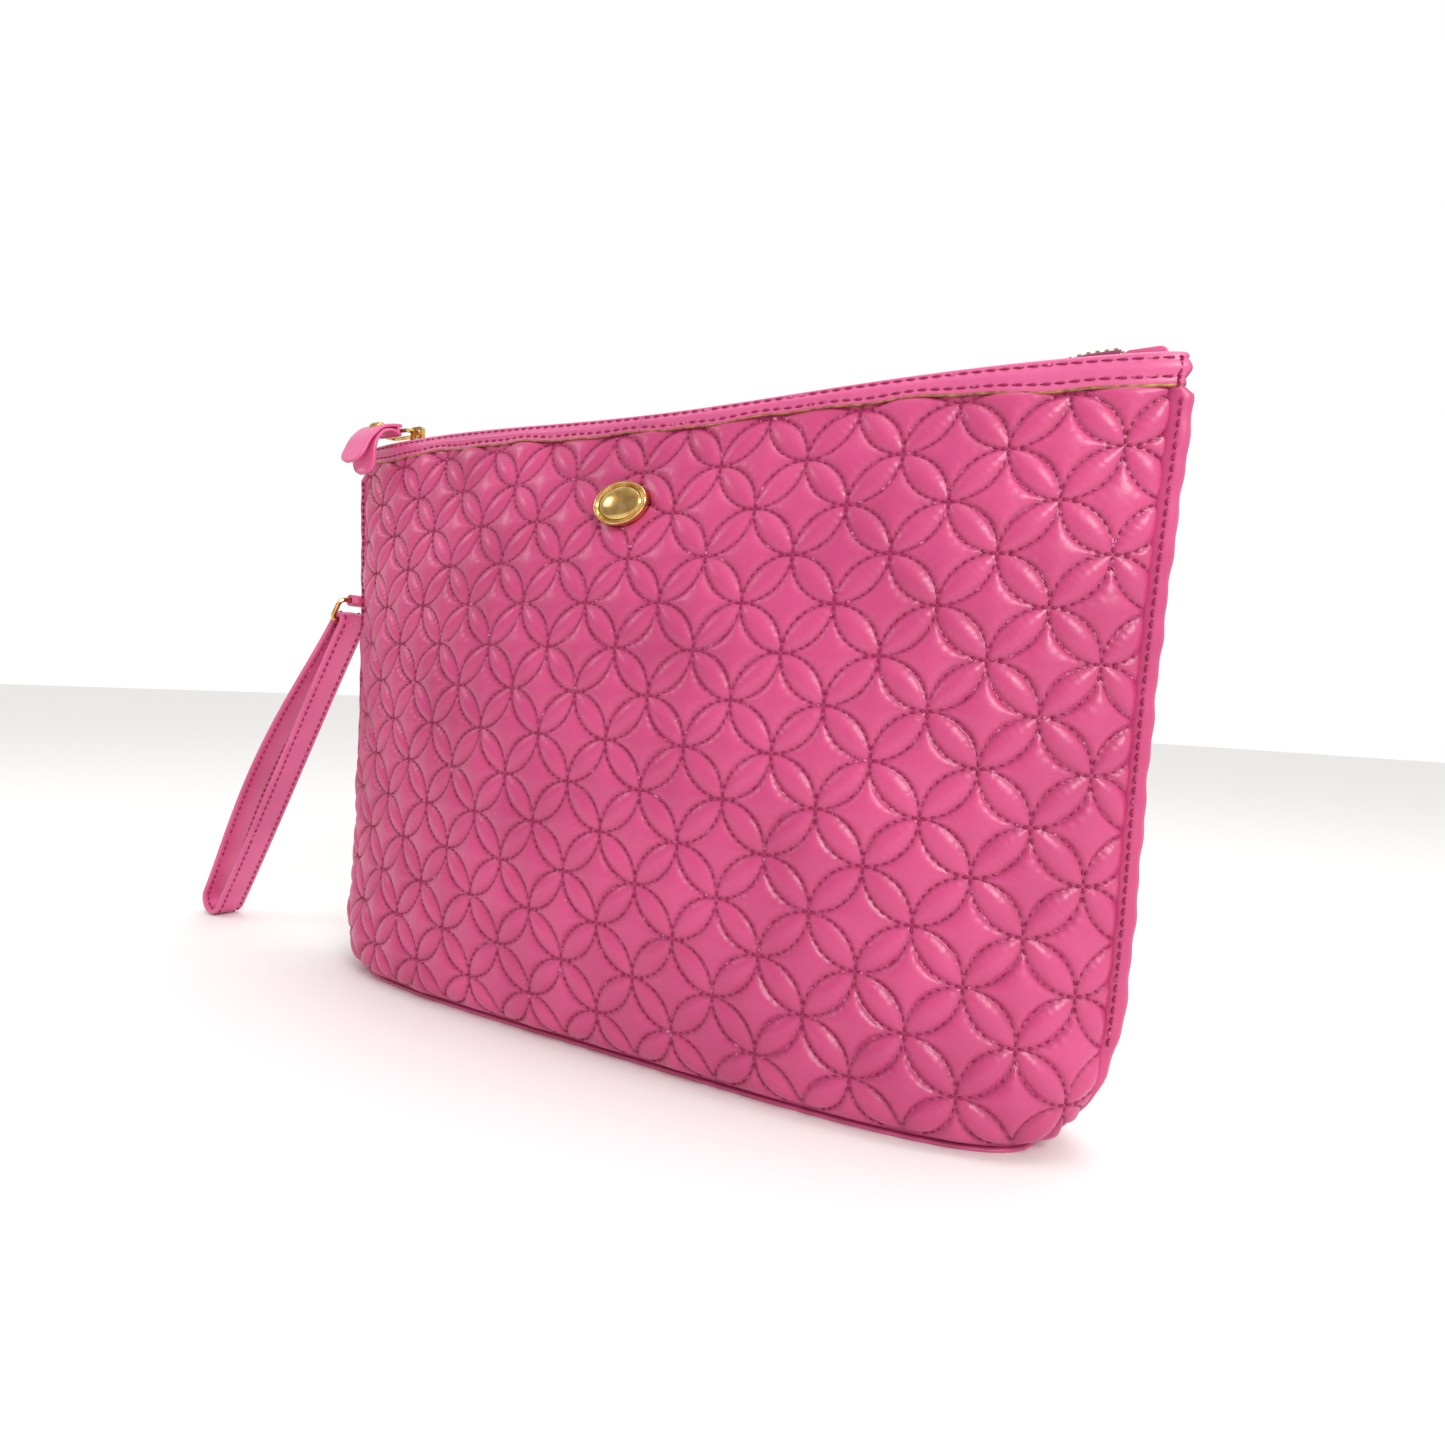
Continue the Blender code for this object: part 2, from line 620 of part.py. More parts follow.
def make_badge():
    """A plain oval plaque, lying along the front wall."""
    step = 1.0
    lean = math.atan((half_depth(BADGE_Z - step) - half_depth(BADGE_Z + step)) / (2 * step))
    normal = Vector((0.0, -math.cos(lean), math.sin(lean)))
    up = Vector((0.0, math.sin(lean), math.cos(lean)))
    seat = Vector((0.0, -half_depth(BADGE_Z), BADGE_Z)) + normal * 0.8
    bm = bmesh.new()
    rings = []
    for size, height in ((1.0, 0.0), (1.0, BADGE_THICK - 0.5), (0.93, BADGE_THICK)):
        turns = [2 * math.pi * i / 32 for i in range(32)]
        ring = []
        for a in turns:
            x, z = BADGE_HALF[0] * size * math.cos(a), BADGE_HALF[1] * size * math.sin(a)
            ring.append(bm.verts.new(seat + Vector((x, 0, 0)) + up * z + normal * height))
        rings.append(ring)
    for a, b in zip(rings, rings[1:]):
        for k in range(32):
            bm.faces.new((a[k], a[(k + 1) % 32], b[(k + 1) % 32], b[k]))
    bm.faces.new(rings[0][::-1])
    bm.faces.new(rings[-1])
    add_object("badge_plaque", bm, (GOLD, 0.2, 1.0))


clear_scene()
make_walls()
make_base()
make_zip()
make_end_tabs()
make_slider()
make_pull()
make_strap_tab()
make_strap_ring()
make_strap()
make_badge()
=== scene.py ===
import math

import bmesh
import bpy
import numpy as np
from mathutils import Matrix


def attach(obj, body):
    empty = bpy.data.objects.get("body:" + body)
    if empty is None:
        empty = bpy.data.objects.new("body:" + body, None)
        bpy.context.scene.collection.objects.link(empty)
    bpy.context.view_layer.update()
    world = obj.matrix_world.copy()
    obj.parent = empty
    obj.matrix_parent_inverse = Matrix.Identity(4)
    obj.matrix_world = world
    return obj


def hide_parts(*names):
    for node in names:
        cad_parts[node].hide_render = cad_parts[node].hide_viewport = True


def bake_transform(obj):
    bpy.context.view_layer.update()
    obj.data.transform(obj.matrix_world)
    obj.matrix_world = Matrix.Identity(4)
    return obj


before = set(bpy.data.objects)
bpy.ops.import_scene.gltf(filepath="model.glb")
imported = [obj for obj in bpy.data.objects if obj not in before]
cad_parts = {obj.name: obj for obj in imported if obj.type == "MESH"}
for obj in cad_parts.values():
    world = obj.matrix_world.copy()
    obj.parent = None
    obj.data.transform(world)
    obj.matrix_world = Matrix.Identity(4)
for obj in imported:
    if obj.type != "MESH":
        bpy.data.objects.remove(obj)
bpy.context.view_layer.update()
print("frame loaded")

mm = 0.001  # sizes below are in millimetres unless a note says otherwise

# The bag's body, by the same rules as the CAD walls.
bagShape = {
    "halfFlatWidth": 145.0,  # a panel laid flat, from its middle to the side seam
    "height": 192.0,
    "bellyDepth": 32.0,
    "bellyHeight": 67.0,
    "topDepth": 13.4,
    "footDepth": 27.0,
    "rollRadius": 9.0,
    "cornerRadius": 21.0,
    "seamSpread": 1.5,  # how much faster inner skins shorten than they thin
    "floorGap": 1.3,  # the quilted walls end just above the base panel's rim
}
# How far the soft top edge hangs below the CAD height, along the wall.
topSag = {"level": 1.5, "tilt": 0.004, "dip": 4.6, "dipAt": 5.0, "dipWidth": 75.0}


def smoothStep(low, high, x):
    t = np.clip((np.asarray(x, float) - low) / (high - low), 0.0, 1.0)
    return t * t * (3 - 2 * t)


def sagAt(u):
    dip = topSag["dip"] * np.exp(-(((u - topSag["dipAt"]) / topSag["dipWidth"]) ** 2))
    return topSag["level"] + topSag["tilt"] * np.asarray(u, float) + dip


def halfDepth(z):
    z = np.asarray(z, float)
    belly, high = bagShape["bellyHeight"], bagShape["height"]
    rise = np.clip((z - belly) / (high - belly), 0.0, 1.1)
    drop = np.clip((belly - z) / belly, 0.0, 1.0)
    depth = bagShape["bellyDepth"] - (bagShape["bellyDepth"] - bagShape["topDepth"]) * rise**2.1
    depth -= (bagShape["bellyDepth"] - bagShape["footDepth"]) * drop**2.8
    roll = bagShape["rollRadius"]
    under = np.maximum(0.0, roll - z)
    return depth - (roll - np.sqrt(roll**2 - under**2))


def sectionDepth(share, z, depth):
    foot = np.clip(1 - z / bagShape["height"], 0.0, 1.0) ** 8
    inner = np.maximum(0.0, 1 - np.abs(share) ** (2.0 + 2.4 * foot))
    return depth * inner ** (0.62 - 0.27 * foot)


def flatWidth(z):
    corner = bagShape["cornerRadius"]
    under = np.maximum(0.0, corner - z)
    return bagShape["halfFlatWidth"] - corner + np.sqrt(corner**2 - under**2)


def makeTables():
    # Arc length along the wall, worked out once for a ladder of heights.
    heights = np.arange(0.5, 196.1, 0.5)
    shares = 1 - (1 - np.arange(241) / 240) ** 3
    flat, depth = flatWidth(heights), halfDepth(heights)
    y = sectionDepth(shares[None], heights[:, None], depth[:, None])
    low, high = 0.7 * flat, flat.copy()
    for _ in range(30):
        middle = (low + high) / 2
        steps = np.hypot(np.diff(middle[:, None] * shares[None], axis=1), np.diff(y, axis=1))
        longer = steps.sum(1) > flat
        low, high = np.where(longer, low, middle), np.where(longer, middle, high)
    steps = np.hypot(np.diff(low[:, None] * shares[None], axis=1), np.diff(y, axis=1))
    along = np.concatenate([np.zeros((len(heights), 1)), np.cumsum(steps, 1)], 1)
    ways = np.linspace(0, 1, 581)
    table = np.array([np.interp(ways * a[-1], a, shares) for a in along])
    return heights, low, ways, table


heightSteps, lengthTable, waySteps, shareTable = makeTables()
profileZ = np.linspace(196.0, 0.5, 4000)
profileSteps = np.hypot(np.diff(profileZ), np.diff(halfDepth(profileZ)))
profileV = np.concatenate([[0.0], np.cumsum(profileSteps)])
profileV -= np.interp(-bagShape["height"], -profileZ, profileV)


def heightAt(v):
    # v is the length down the middle of the wall, from the top of the CAD band.
    return np.interp(v, profileV, profileZ)


def downAt(z):
    return np.interp(-np.asarray(z, float), -profileZ, profileV)


def edgeAt(z):
    # How far the wall reaches to its side seam at the height z.
    return np.interp(z, heightSteps, lengthTable)


def shareAt(w, z):
    # The share of the section's half length at the share w of its arc length.
    a = np.clip((np.asarray(z, float) - heightSteps[0]) / 0.5, 0, len(heightSteps) - 1.001)
    b = np.clip(np.abs(w), 0, 1) * (len(waySteps) - 1.001)
    i, j = a.astype(int), b.astype(int)
    p, q = a - i, b - j
    low = shareTable[i, j] * (1 - q) + shareTable[i, j + 1] * q
    high = shareTable[i + 1, j] * (1 - q) + shareTable[i + 1, j + 1] * q
    return (low * (1 - p) + high * p) * np.sign(w)


def skinAt(w, z, face, under=0.0):
    # A point of the wall, under millimetres below its skin; face is -1 in front and 1 behind.
    w, z, under = np.broadcast_arrays(*(np.asarray(k, float) for k in (w, z, under)))
    share = shareAt(w, z)
    length = edgeAt(z) - bagShape["seamSpread"] * under
    depth = halfDepth(z) - under
    lift = under * np.maximum(0.0, 1 - z / 12.0) ** 2
    y = face * sectionDepth(share, z, depth)
    return np.stack([share * length, y, z + lift], -1)


# Colours and nodes.


def linear(hexText):
    # An sRGB hex value as the linear colour that the shader takes.
    parts = [int(hexText[i : i + 2], 16) / 255 for i in (1, 3, 5)]
    return [p / 12.92 if p <= 0.04045 else ((p + 0.055) / 1.055) ** 2.4 for p in parts] + [1.0]


def addNode(tree, kind, inputs=None, links=None, **settings):
    made = tree.nodes.new("ShaderNode" + kind)
    for name, value in settings.items():
        setattr(made, name, value)
    for name, value in (inputs or {}).items():
        made.inputs[name].default_value = value
    for name, source in (links or {}).items():
        tree.links.new(source, made.inputs[name])
    return made


def startMaterial(name, **surface):
    made = bpy.data.materials.new(name)
    made.use_nodes = True
    shader = made.node_tree.nodes["Principled BSDF"]
    for socket, value in surface.items():
        shader.inputs[socket.replace("_", " ")].default_value = value
    return made, made.node_tree, shader


def addNoise(tree, scale, detail, place, **more):
    values = {"Scale": scale, "Detail": detail, **more}
    return addNode(tree, "TexNoise", values, {"Vector": place}).outputs["Fac"]


def addWave(tree, size, distortion, place, way):
    # Bands of a size in millimetres; 6.3 bands of the wave fill a unit of its scale.
    bands = {"Scale": 1 / (size * mm) / 6.3, "Distortion": distortion}
    return addNode(tree, "TexWave", bands, {"Vector": place}, bands_direction=way).outputs["Fac"]


def addTone(tree, shader, source, *stops):
    # A colour that follows a value, by stops of place and hex colour.
    tone = addNode(tree, "ValToRGB", links={"Fac": source})
    ramp = tone.color_ramp
    while len(ramp.elements) < len(stops):
        ramp.elements.new(0.5)
    for element, (place, colour) in zip(ramp.elements, stops):
        element.position = place
        element.color = linear(colour)
    tree.links.new(tone.outputs["Color"], shader.inputs["Base Color"])
    return tone.outputs["Color"]


def addBump(tree, shader, strength, distance, height, **under):
    # A relief, distance in millimetres, that may lie over another.
    relief = {"Strength": strength, "Distance": distance * mm}
    made = addNode(tree, "Bump", relief, {"Height": height, **under}).outputs["Normal"]
    tree.links.new(made, shader.inputs["Normal"])
    return made


def addGloss(tree, shader, source, low, high):
    # A roughness that follows a noise between two values.
    reach = {"From Min": 0.3, "From Max": 0.7, "To Min": low, "To Max": high}
    made = addNode(tree, "MapRange", reach, {"Value": source})
    tree.links.new(made.outputs["Result"], shader.inputs["Roughness"])


# Coated leather: a polyurethane film on a knitted backing, embossed with a fine grain.
# The film gives an even colour, a satin gloss and soft highlights.
leather = {
    "main": "#c9467a",
    "deep": "#b4386a",
    # painted shade, with a little dirt, in the stitched grooves
    "grooveShadeAndDirt": "#7d1443",
    "smoothMain": "#d85e8f",
    "smoothDeep": "#c64f80",
    "grainSize": 0.55,  # the real grain is about 0.3, too fine to show, so it is drawn coarser
    "creaseSize": 2.6,
    "roughness": 0.34,
    "patchScale": 28.0,  # of the slow drift in colour, per metre
}


def makeLeather(name, main, deep, grooves, creases):
    rough = leather["roughness"]
    made, tree, shader = startMaterial(name, Roughness=rough, IOR=1.48, Coat_Weight=0.12, Coat_Roughness=0.28)
    place = addNode(tree, "TexCoord").outputs["Object"]
    patches = addNoise(tree, leather["patchScale"], 3.0, place)
    colour = addTone(tree, shader, patches, (0.35, main), (0.72, deep))
    if grooves:
        # Painted shade, with a little dirt, darkens the stitched grooves.
        depth = addNode(tree, "Attribute", attribute_name="grooveShadeAndDirt", attribute_type="GEOMETRY").outputs["Fac"]
        shade = addNode(tree, "Mix", {7: linear(leather["grooveShadeAndDirt"])}, {0: depth, 6: colour}, data_type="RGBA")
        tree.links.new(shade.outputs[2], shader.inputs["Base Color"])
    cells = {"Scale": 1 / (leather["grainSize"] * mm)}
    grain = addNode(tree, "TexVoronoi", cells, {"Vector": place}, feature="SMOOTH_F1").outputs["Distance"]
    fold = addNoise(tree, 1 / (leather["creaseSize"] * mm), 4.0, place, Roughness=0.6, Distortion=0.6)
    creased = addBump(tree, shader, creases, 0.25, fold)
    addBump(tree, shader, 0.22, 0.08, grain, Normal=creased)
    addGloss(tree, shader, fold, rough - 0.05, rough + 0.08)
    return made


# Sewing thread: twisted polyester filament, smooth, with a ply relief along it; random patches are painted
# lighter as painted glints.
thread = {"dark": "#93134a", "glint": "#d9709f", "plySize": 0.9, "paintedGlintScale": 420.0}


def makeThread():
    made, tree, shader = startMaterial("twistedPolyesterThread", Roughness=0.5, IOR=1.45)
    place = addNode(tree, "TexCoord").outputs["Object"]
    # Painted glints: random patches of the thread take the light pink glint colour, standing in for
    # highlights.
    paintedGlintPatches = addNoise(tree, thread["paintedGlintScale"], 1.0, place)
    addTone(tree, shader, paintedGlintPatches, (0.0, thread["dark"]), (0.62, thread["dark"]), (0.74, thread["glint"]))
    addBump(tree, shader, 0.5, 0.1, addWave(tree, thread["plySize"], 0.5, place, "DIAGONAL"))
    return made


# Gold plate: zinc castings and steel wire, polished and plated, with the faint ripple of polishing.
gold = {"plate": "#e2bd7a", "deep": "#b98645", "tooth": "#d8b072", "rippleSize": 3.0}


def makeGold(name, roughness, tint):
    made, tree, shader = startMaterial(name, Metallic=1.0, Roughness=roughness)
    place = addNode(tree, "TexCoord").outputs["Object"]
    haze = addNoise(tree, 1 / (gold["rippleSize"] * mm), 2.0, place)
    addTone(tree, shader, haze, (0.3, tint), (0.75, gold["deep"]))
    addGloss(tree, shader, haze, roughness, roughness + 0.12)
    addBump(tree, shader, 0.25, 0.08, haze)
    return made


# Woven cloth: polyester yarns over and under, in a relief that breaks up the light; the weave's hollows are
# painted darker as painted shade.
def makeWoven(name, yarnTop, weaveHollowShade, yarn, roughness):
    made, tree, shader = startMaterial(name, Roughness=roughness, IOR=1.5, Sheen_Weight=0.35)
    place = addNode(tree, "UVMap", uv_map="flat").outputs["UV"]
    waves = [addWave(tree, yarn, 0.4, place, way) for way in ("X", "Y")]
    over = addNode(tree, "Math", links={0: waves[0], 1: waves[1]}, operation="MULTIPLY").outputs["Value"]
    # Painted shade: the low parts of the weave take the darker colour, following the relief's height.
    addTone(tree, shader, over, (0.1, weaveHollowShade), (0.6, yarnTop))
    addBump(tree, shader, 0.6, 0.15, over)
    return made


# Edge paint: a brushed-on acrylic coat with gold pigment over the raw cut, slightly uneven.
edgePaint = {"light": "#b98556", "dark": "#7a4a30", "size": 2.2}


def makeEdgePaint():
    made, tree, shader = startMaterial("goldEdgePaint", Metallic=0.35, Roughness=0.42)
    place = addNode(tree, "TexCoord").outputs["Object"]
    streak = addNoise(tree, 1 / (edgePaint["size"] * mm), 3.0, place)
    addTone(tree, shader, streak, (0.3, edgePaint["dark"]), (0.65, edgePaint["light"]))
    addBump(tree, shader, 0.4, 0.1, streak)
    return made


# Pressed fibre board: matt, with flecks.
board = {"dark": "#6f6257", "light": "#93857a", "fleckScale": 900.0}


def makeBoard():
    made, tree, shader = startMaterial("pressedFibreBoard", Roughness=0.85)
    place = addNode(tree, "TexCoord").outputs["Object"]
    fleck = addNoise(tree, board["fleckScale"], 4.0, place)
    addTone(tree, shader, fleck, (0.35, board["dark"]), (0.65, board["light"]))
    return made


quiltedLeather = makeLeather("quiltedCoatedLeather", leather["main"], leather["deep"], True, 0.35)
smoothLeather = makeLeather("smoothCoatedLeather", leather["smoothMain"], leather["smoothDeep"], False, 0.2)
threadFinish = makeThread()
plateGold = makeGold("polishedGoldPlate", 0.12, gold["plate"])
toothGold = makeGold("brushedGoldTeeth", 0.3, gold["tooth"])
# The second colour of each cloth is the painted shade in its weave's hollows.
tapeCloth = makeWoven("wovenZipTape", "#b8336d", "#7e1c49", 0.7, 0.75)
liningCloth = makeWoven("wovenLining", "#a88f86", "#7f6a63", 0.9, 0.8)
paintFinish = makeEdgePaint()
boardFinish = makeBoard()
print("materials made")


# Mesh helpers.


def addPiece(name, points, faces, finish, smooth=True):
    # points in millimetres
    mesh = bpy.data.meshes.new(name)
    mesh.from_pydata((np.asarray(points, float).reshape(-1, 3) * mm).tolist(), [], faces)
    mesh.materials.append(finish)
    made = bpy.data.objects.new(name, mesh)
    bpy.context.scene.collection.objects.link(made)
    if smooth:
        mesh.shade_smooth()
    return made


def gridFaces(rows, columns, flip=False, start=0, wrapColumns=False, wrapRows=False):
    # Quads between rows of points; wrap joins the last column or row to the first.
    i, j = np.indices((rows - (not wrapRows), columns - (not wrapColumns)))
    below, beside = (i + 1) % rows, (j + 1) % columns
    a, b = i * columns + j, i * columns + beside
    c, d = below * columns + beside, below * columns + j
    quads = np.stack([a, d, c, b] if flip else [a, b, c, d], -1).reshape(-1, 4) + start
    return quads.tolist()


def sweepFaces(rings, sides, flip=False, start=0):
    # A tube of rings, each of the same number of points, with a cap at each end.
    faces = gridFaces(rings, sides, flip, start, wrapColumns=True)
    first = [start + k for k in range(sides)]
    last = [start + (rings - 1) * sides + k for k in range(sides)]
    return faces + ([first, last[::-1]] if flip else [first[::-1], last])


def fixNormals(made):
    work = bmesh.new()
    work.from_mesh(made.data)
    bmesh.ops.recalc_face_normals(work, faces=work.faces)
    work.to_mesh(made.data)
    work.free()


def addSweep(name, rings, finish):
    # A closed piece through rings of points.
    rings = np.asarray(rings)
    made = addPiece(name, rings, sweepFaces(*rings.shape[:2]), finish)
    fixNormals(made)
    return made


def softenEdges(made, width):
    bevel = made.modifiers.new("softEdges", "BEVEL")
    bevel.width = width * mm
    bevel.segments = 2
    bevel.limit_method = "ANGLE"


def blendWall(made):
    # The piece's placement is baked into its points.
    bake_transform(made)


def unit(vectors):
    return vectors / np.maximum(np.linalg.norm(vectors, axis=-1, keepdims=True), 1e-9)


sides = (("left", -1), ("right", 1))
faces = (("front", -1), ("back", 1))
halves = [(*oneFace, *oneSide) for oneFace in faces for oneSide in sides]
fourAlong = np.linspace(0.12, 0.88, 4)  # the places along a stitch, as shares of its pitch


def runLength(line):
    return np.concatenate([[0], np.cumsum(np.linalg.norm(np.diff(line, axis=0), axis=1))])


# Camera.
cameraView = {
    "place": (0.1840, -0.2518, 0.1062),  # metres
    "right": (0.8408, 0.5388, 0.0533),
    "up": (-0.0605, -0.0044, 0.9982),
    "lens": 25.18,
    "sensor": 36.0,
}


def makeCamera():
    data = bpy.data.cameras.new("camera")
    data.lens = cameraView["lens"]
    data.sensor_width = cameraView["sensor"]
    data.clip_start = 0.01
    made = bpy.data.objects.new("camera", data)
    right, up = np.array(cameraView["right"]), np.array(cameraView["up"])
    back = np.cross(right, up)
    up = np.cross(back, right)
    turn = Matrix(np.stack([right, up, back], 1).tolist()).to_4x4()
    made.matrix_world = Matrix.Translation(cameraView["place"]) @ turn
    bpy.context.scene.collection.objects.link(made)
    bpy.context.scene.camera = made


makeCamera()
print("camera placed")

# Smooth band round the mouth, turned over at the top and raw at its lower edge.
band = {
    "height": 5.7,
    "rightRise": (2.6, 60, 130),  # how much higher, from where and to where along the wall
    "leftRise": (0.9, -50, -130),
    "profileHeight": 7.7,  # as the profile below is drawn, before it is fitted to the height
    "stitchPitch": 3.3,
    "endPitch": 1.45,
    "endRow": 142.6,
    "stitchRadius": 0.34,
    "rows": (1.5, 5.9),  # down from the top edge
    "edgeRadius": 0.45,
    "wave": 0.35,
    "step": 1.0,
}


def bandProfile():
    # Down from the top edge, and under the skin: outer side first, then over the fold and down inside.
    outer = [(7.7, -0.75), (7.3, -0.98), (6.6, -0.95), (5.9, -0.72), (5.2, -1.05), (4.4, -1.38), (3.7, -1.5)]
    outer += [(3.0, -1.38), (2.2, -1.05), (1.5, -0.66), (0.9, -0.82), (0.4, -0.6), (0.05, -0.1)]
    inner = [(-0.1, 0.7), (0.0, 1.6), (0.35, 2.3), (1.0, 2.7), (2.2, 2.8), (5.0, 2.8), (7.2, 2.7), (7.7, 1.6)]
    return outer + inner


def bandHeightAt(u):
    # The turned band leans in at the middle of the mouth, and stands up at its ends.
    height = band["height"]
    for rise, begin, full in (band["rightRise"], band["leftRise"]):
        height = height + rise * smoothStep(begin, full, u)
    return height


# Badge: a plain oval plaque with a stepped rim and a soft dome, cast and plated.
badge = {"z": 158.5, "half": (9.5, 6.7), "thick": 1.9, "dome": 1.5, "seat": 1.0}

# Quilting: stitched circles that overlap by a quarter, so that petals and hollow squares puff up.
quilt = {
    "radius": 12.95,  # of each stitched circle, and the spacing of the lattice
    "firstU": 9.65,  # the lattice's place, in spacings
    "firstV": 1.28,
    "startV": 8.0,
    "petalRise": 1.75,
    "cellRise": 1.95,
    "sink": 0.75,  # how far the thread pulls the leather below the wall's line
    "spread": 0.25,  # how unevenly the wadding fills
    "pucker": 0.13,
    "stitchesAround": 36,
    "backing": 3.0,
}


def latticeAt(u, v):
    s = quilt["radius"]
    return u / s + quilt["firstU"], (v - quilt["startV"]) / s - quilt["firstV"]


def flatPlaceAt(i, j):
    s = quilt["radius"]
    return (i - quilt["firstU"]) * s, (j + quilt["firstV"]) * s + quilt["startV"]


fillNoise = np.random.default_rng(7).uniform(-1, 1, (64, 64))


def quiltHeight(u, v):
    # Height of the puffed leather, and how deep in a groove each point is, which sets the painted shade
    # there.
    i, j = latticeAt(u, v)
    a = 2 * np.floor((i + j) / 2) + 1
    b = 2 * np.floor((i - j) / 2) + 1
    ci, cj = (a + b) / 2, (a - b) / 2
    x, y = i - ci, j - cj
    inside = np.maximum(1 - np.hypot(x, y), 1e-4)
    near, turns, corners = [], [], ((1, 1), (1, -1), (-1, 1), (-1, -1))
    for p, q in corners:
        near.append(np.hypot(x - p, y - q) - 1)
        turns.append(np.arctan2(y - q, x - p))
    near, turns = np.array(near), np.array(turns)
    closest = near.argmin(0)
    least = near.min(0)
    petal = least < 0
    other = np.maximum(-least, 1e-4)
    petalShare = 2 * inside * other / (inside + other) / 0.293
    cellShare = 4 / (1 / np.maximum(near, 1e-4)).sum(0) / 0.414
    fill = fillNoise[ci.astype(int) % 64, cj.astype(int) % 64]
    step = np.array(corners)[closest]
    otherFill = fillNoise[(ci + step[..., 0]).astype(int) % 64, (cj + step[..., 1]).astype(int) % 64]
    petalHigh = quilt["petalRise"] * (1 + quilt["spread"] * (fill + otherFill) / 2)
    cellHigh = quilt["cellRise"] * (1 + quilt["spread"] * fill)
    height = np.where(petal, petalHigh * petalShare**0.8, cellHigh * np.minimum(cellShare, 1.2) ** 0.72)
    away = np.minimum(np.abs(least), np.where(petal, inside, 9.0)) * quilt["radius"]
    turn = np.take_along_axis(turns, closest[None], 0)[0]
    pull = np.cos(turn * quilt["stitchesAround"]) * np.exp(-away / 1.7) * smoothStep(0.0, 0.8, away)
    height = height - quilt["pucker"] * pull
    return height - quilt["sink"], np.exp(-((away / 0.55) ** 2))


def wallEnds(u, v, z, face):
    # The puffing dies away at the side seam, under the band, at the base and under the badge.
    toSeam = flatWidth(z) - np.abs(u)
    seam = smoothStep(0.0, 4.5, toSeam)
    edge = v - sagAt(u) - bandHeightAt(u)
    top = smoothStep(-1.9, 1.8, edge)
    foot = smoothStep(0.0, 4.0, z - bagShape["floorGap"])
    pressed = 1 - 0.7 * np.exp(-((u / 11.5) ** 4) - ((z - badge["z"]) / 8.5) ** 4) * (face < 0)
    # The second value marks the side seam, for its crease and its painted shade.
    return seam * top * foot * pressed, np.exp(-((toSeam / 1.1) ** 2))


def makeQuiltHalf(name, side, face):
    rows, columns = 276, 204  # both divide by 4, for the coarser backing
    w = np.linspace(0, 1, columns + 1)[None] * side
    w = np.concatenate([-w[:, 1:2], w], 1)  # one more column past the middle, for its normals
    r = np.linspace(0, 1, rows + 1)[:, None]
    bottom = float(downAt(bagShape["floorGap"]))
    u0 = w * bagShape["halfFlatWidth"]
    top = sagAt(u0) + bandHeightAt(u0) - 3.1
    v = top + (bottom - top) * r
    z = heightAt(v)
    u = w * flatWidth(z)
    base = skinAt(np.broadcast_to(w, v.shape), z, face)
    normal = unit(np.cross(np.gradient(base, axis=1), np.gradient(base, axis=0))) * (side * face)
    normal = normal * np.where((normal * [0, face, 0]).sum(-1, keepdims=True) < -0.2, -1, 1)
    high, grooveShadeAndDirt = quiltHeight(u, v)
    ends, seamGroove = wallEnds(u, v, z, face)
    high = (high + 0.2) * ends - 0.2 - 0.9 * seamGroove
    points = base + normal * high[..., None]
    bent = unit(np.cross(np.gradient(points, axis=1), np.gradient(points, axis=0)))
    bent *= np.sign((bent * normal).sum(-1, keepdims=True))
    points, bent, grooveShadeAndDirt = points[:, 1:], bent[:, 1:], np.maximum(grooveShadeAndDirt, seamGroove)[:, 1:]
    inner = skinAt(np.broadcast_to(w, v.shape), z, face, quilt["backing"])[::4, 1::4]
    n, m = rows + 1, columns + 1
    ni, mi = inner.shape[:2]
    faceList = gridFaces(n, m) + gridFaces(ni, mi, True, n * m)
    rims = (
        ([k for k in range(m)], [n * m + k for k in range(mi)]),
        ([k * m + m - 1 for k in range(n)], [n * m + k * mi + mi - 1 for k in range(ni)]),
        ([(n - 1) * m + k for k in range(m)][::-1], [n * m + (ni - 1) * mi + k for k in range(mi)][::-1]),
        ([k * m for k in range(n)][::-1], [n * m + k * mi for k in range(ni)][::-1]),
    )
    for fine, coarse in rims:
        for k in range(len(coarse) - 1):
            f, c0, c1 = fine[4 * k : 4 * k + 5], coarse[k], coarse[k + 1]
            fan = [[f[0], f[1], c0], [f[1], f[2], c0], [f[2], c1, c0], [f[2], f[3], c1], [f[3], f[4], c1]]
            faceList += [t[::-1] for t in fan]
    allPoints = np.concatenate([points.reshape(-1, 3), inner.reshape(-1, 3)])
    made = addPiece(name, allPoints, faceList, quiltedLeather)
    fixNormals(made)
    # Painted shade, with a little dirt, in the stitched grooves and along the side seam, kept as a mask for
    # the leather's colour.
    shade = made.data.attributes.new("grooveShadeAndDirt", "FLOAT", "POINT")
    values = np.zeros(len(allPoints), np.float32)
    values[: n * m] = 0.5 * grooveShadeAndDirt.ravel()
    shade.data.foreach_set("value", values)
    custom = np.zeros((len(allPoints), 3))
    custom[: n * m] = bent.reshape(-1, 3)
    made.data.normals_split_custom_set_from_vertices(custom.tolist())
    return made


for faceName, face, sideName, side in halves:
    half = makeQuiltHalf(f"{faceName}_quilt_{sideName}", side, face)
    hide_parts(f"{faceName}_panel", f"{sideName}_side_panel")
    blendWall(half)
print("quilted panels made")

# Threads.
stitchShape = {"radius": 0.37, "sides": 5, "sink": 0.3, "lift": 0.36, "share": 0.7}


